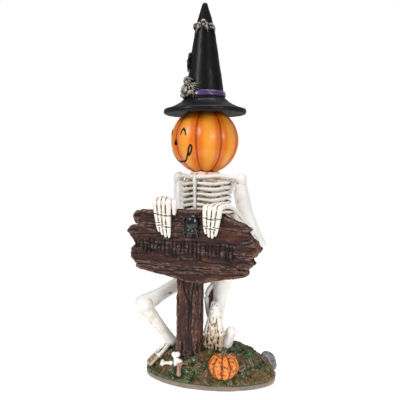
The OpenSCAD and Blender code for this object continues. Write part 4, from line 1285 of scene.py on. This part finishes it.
def build_floor():
    """A plain pale disc, which also lights the figure's undersides a little."""
    reach = 0.3
    floor = bpy.data.meshes.new("floor")
    turns = np.radians(np.arange(96) * 3.75)
    floor.from_pydata([(reach * math.cos(a), reach * math.sin(a), 0) for a in turns], [], [range(96)])
    pale = Finish("pale_floor", roughness=0.9, specular_ior_level=0.1, emission_strength=0.5,
                  emission_color=(1, 1, 1, 1))
    pale.done(pale.mix(pale.noise(400, detail=1.0), (0.93, 0.93, 0.93, 1), (0.95, 0.95, 0.95, 1)), 0.9)
    floor.materials.append(pale.material)
    stage = bpy.data.objects.new("floor", floor)
    scene.collection.objects.link(stage)


def light_world():
    """A white studio that gives off soft light, and is plain white behind the figure."""
    world = bpy.data.worlds.new("studio")
    scene.world = world
    world.use_nodes = True
    tree = world.node_tree
    soft = tree.nodes["Background"]
    soft.inputs[0].default_value, soft.inputs[1].default_value = (1, 1, 1, 1), 0.33
    plain_white, both = tree.nodes.new("ShaderNodeBackground"), tree.nodes.new("ShaderNodeMixShader")
    plain_white.inputs[0].default_value = (1, 1, 1, 1)
    tree.links.new(tree.nodes.new("ShaderNodeLightPath").outputs["Is Camera Ray"], both.inputs[0])
    tree.links.new(soft.outputs[0], both.inputs[1])
    tree.links.new(plain_white.outputs[0], both.inputs[2])
    tree.links.new(both.outputs[0], tree.nodes["World Output"].inputs[0])


def place_lamps():
    """Three square lamps: name, place in m, side in m and power in W."""
    for name, place, size, power in (
        ("key", (-0.5, -0.85, 0.7), 0.4, 5.9),
        ("fill", (0.85, -0.55, 0.4), 0.35, 3.7),
        ("top", (0.05, 0.1, 1.1), 0.6, 5.0),
    ):
        lamp = bpy.data.lights.new(name, "AREA")
        lamp.shape, lamp.size, lamp.energy = "SQUARE", size, power
        held = bpy.data.objects.new(name, lamp)
        held.location = place
        held.rotation_euler = (Vector((0, 0, 0.15)) - Vector(place)).to_track_quat("-Z", "Y").to_euler()
        scene.collection.objects.link(held)


def place_camera():
    camera = bpy.data.objects.new("camera", bpy.data.cameras.new("camera"))
    turn, away, height = math.radians(22), 0.4883, 0.1588
    camera.location = (away * math.sin(turn), -away * math.cos(turn), height)
    target = Vector((-0.00723, -0.00292, 0.138))
    camera.rotation_euler = (target - camera.location).to_track_quat("-Z", "Y").to_euler()
    camera.data.lens, camera.data.sensor_width = 56.34, 36
    scene.collection.objects.link(camera)
    scene.camera = camera
    scene.view_settings.view_transform = "Standard"


build_base()
build_litter()
build_small_pumpkin()
build_sign()
build_gouges()
build_spider()
build_ribs()
build_chest()
build_shoulders()
build_spine()
build_pelvis()
build_arms()
build_hands()
build_thumbs()
build_legs()
build_left_foot()
build_right_foot()
build_head()
build_face()
build_crown()
build_brim()
build_band()
build_relief()
dress_cad()
build_floor()
light_world()
place_lamps()
place_camera()
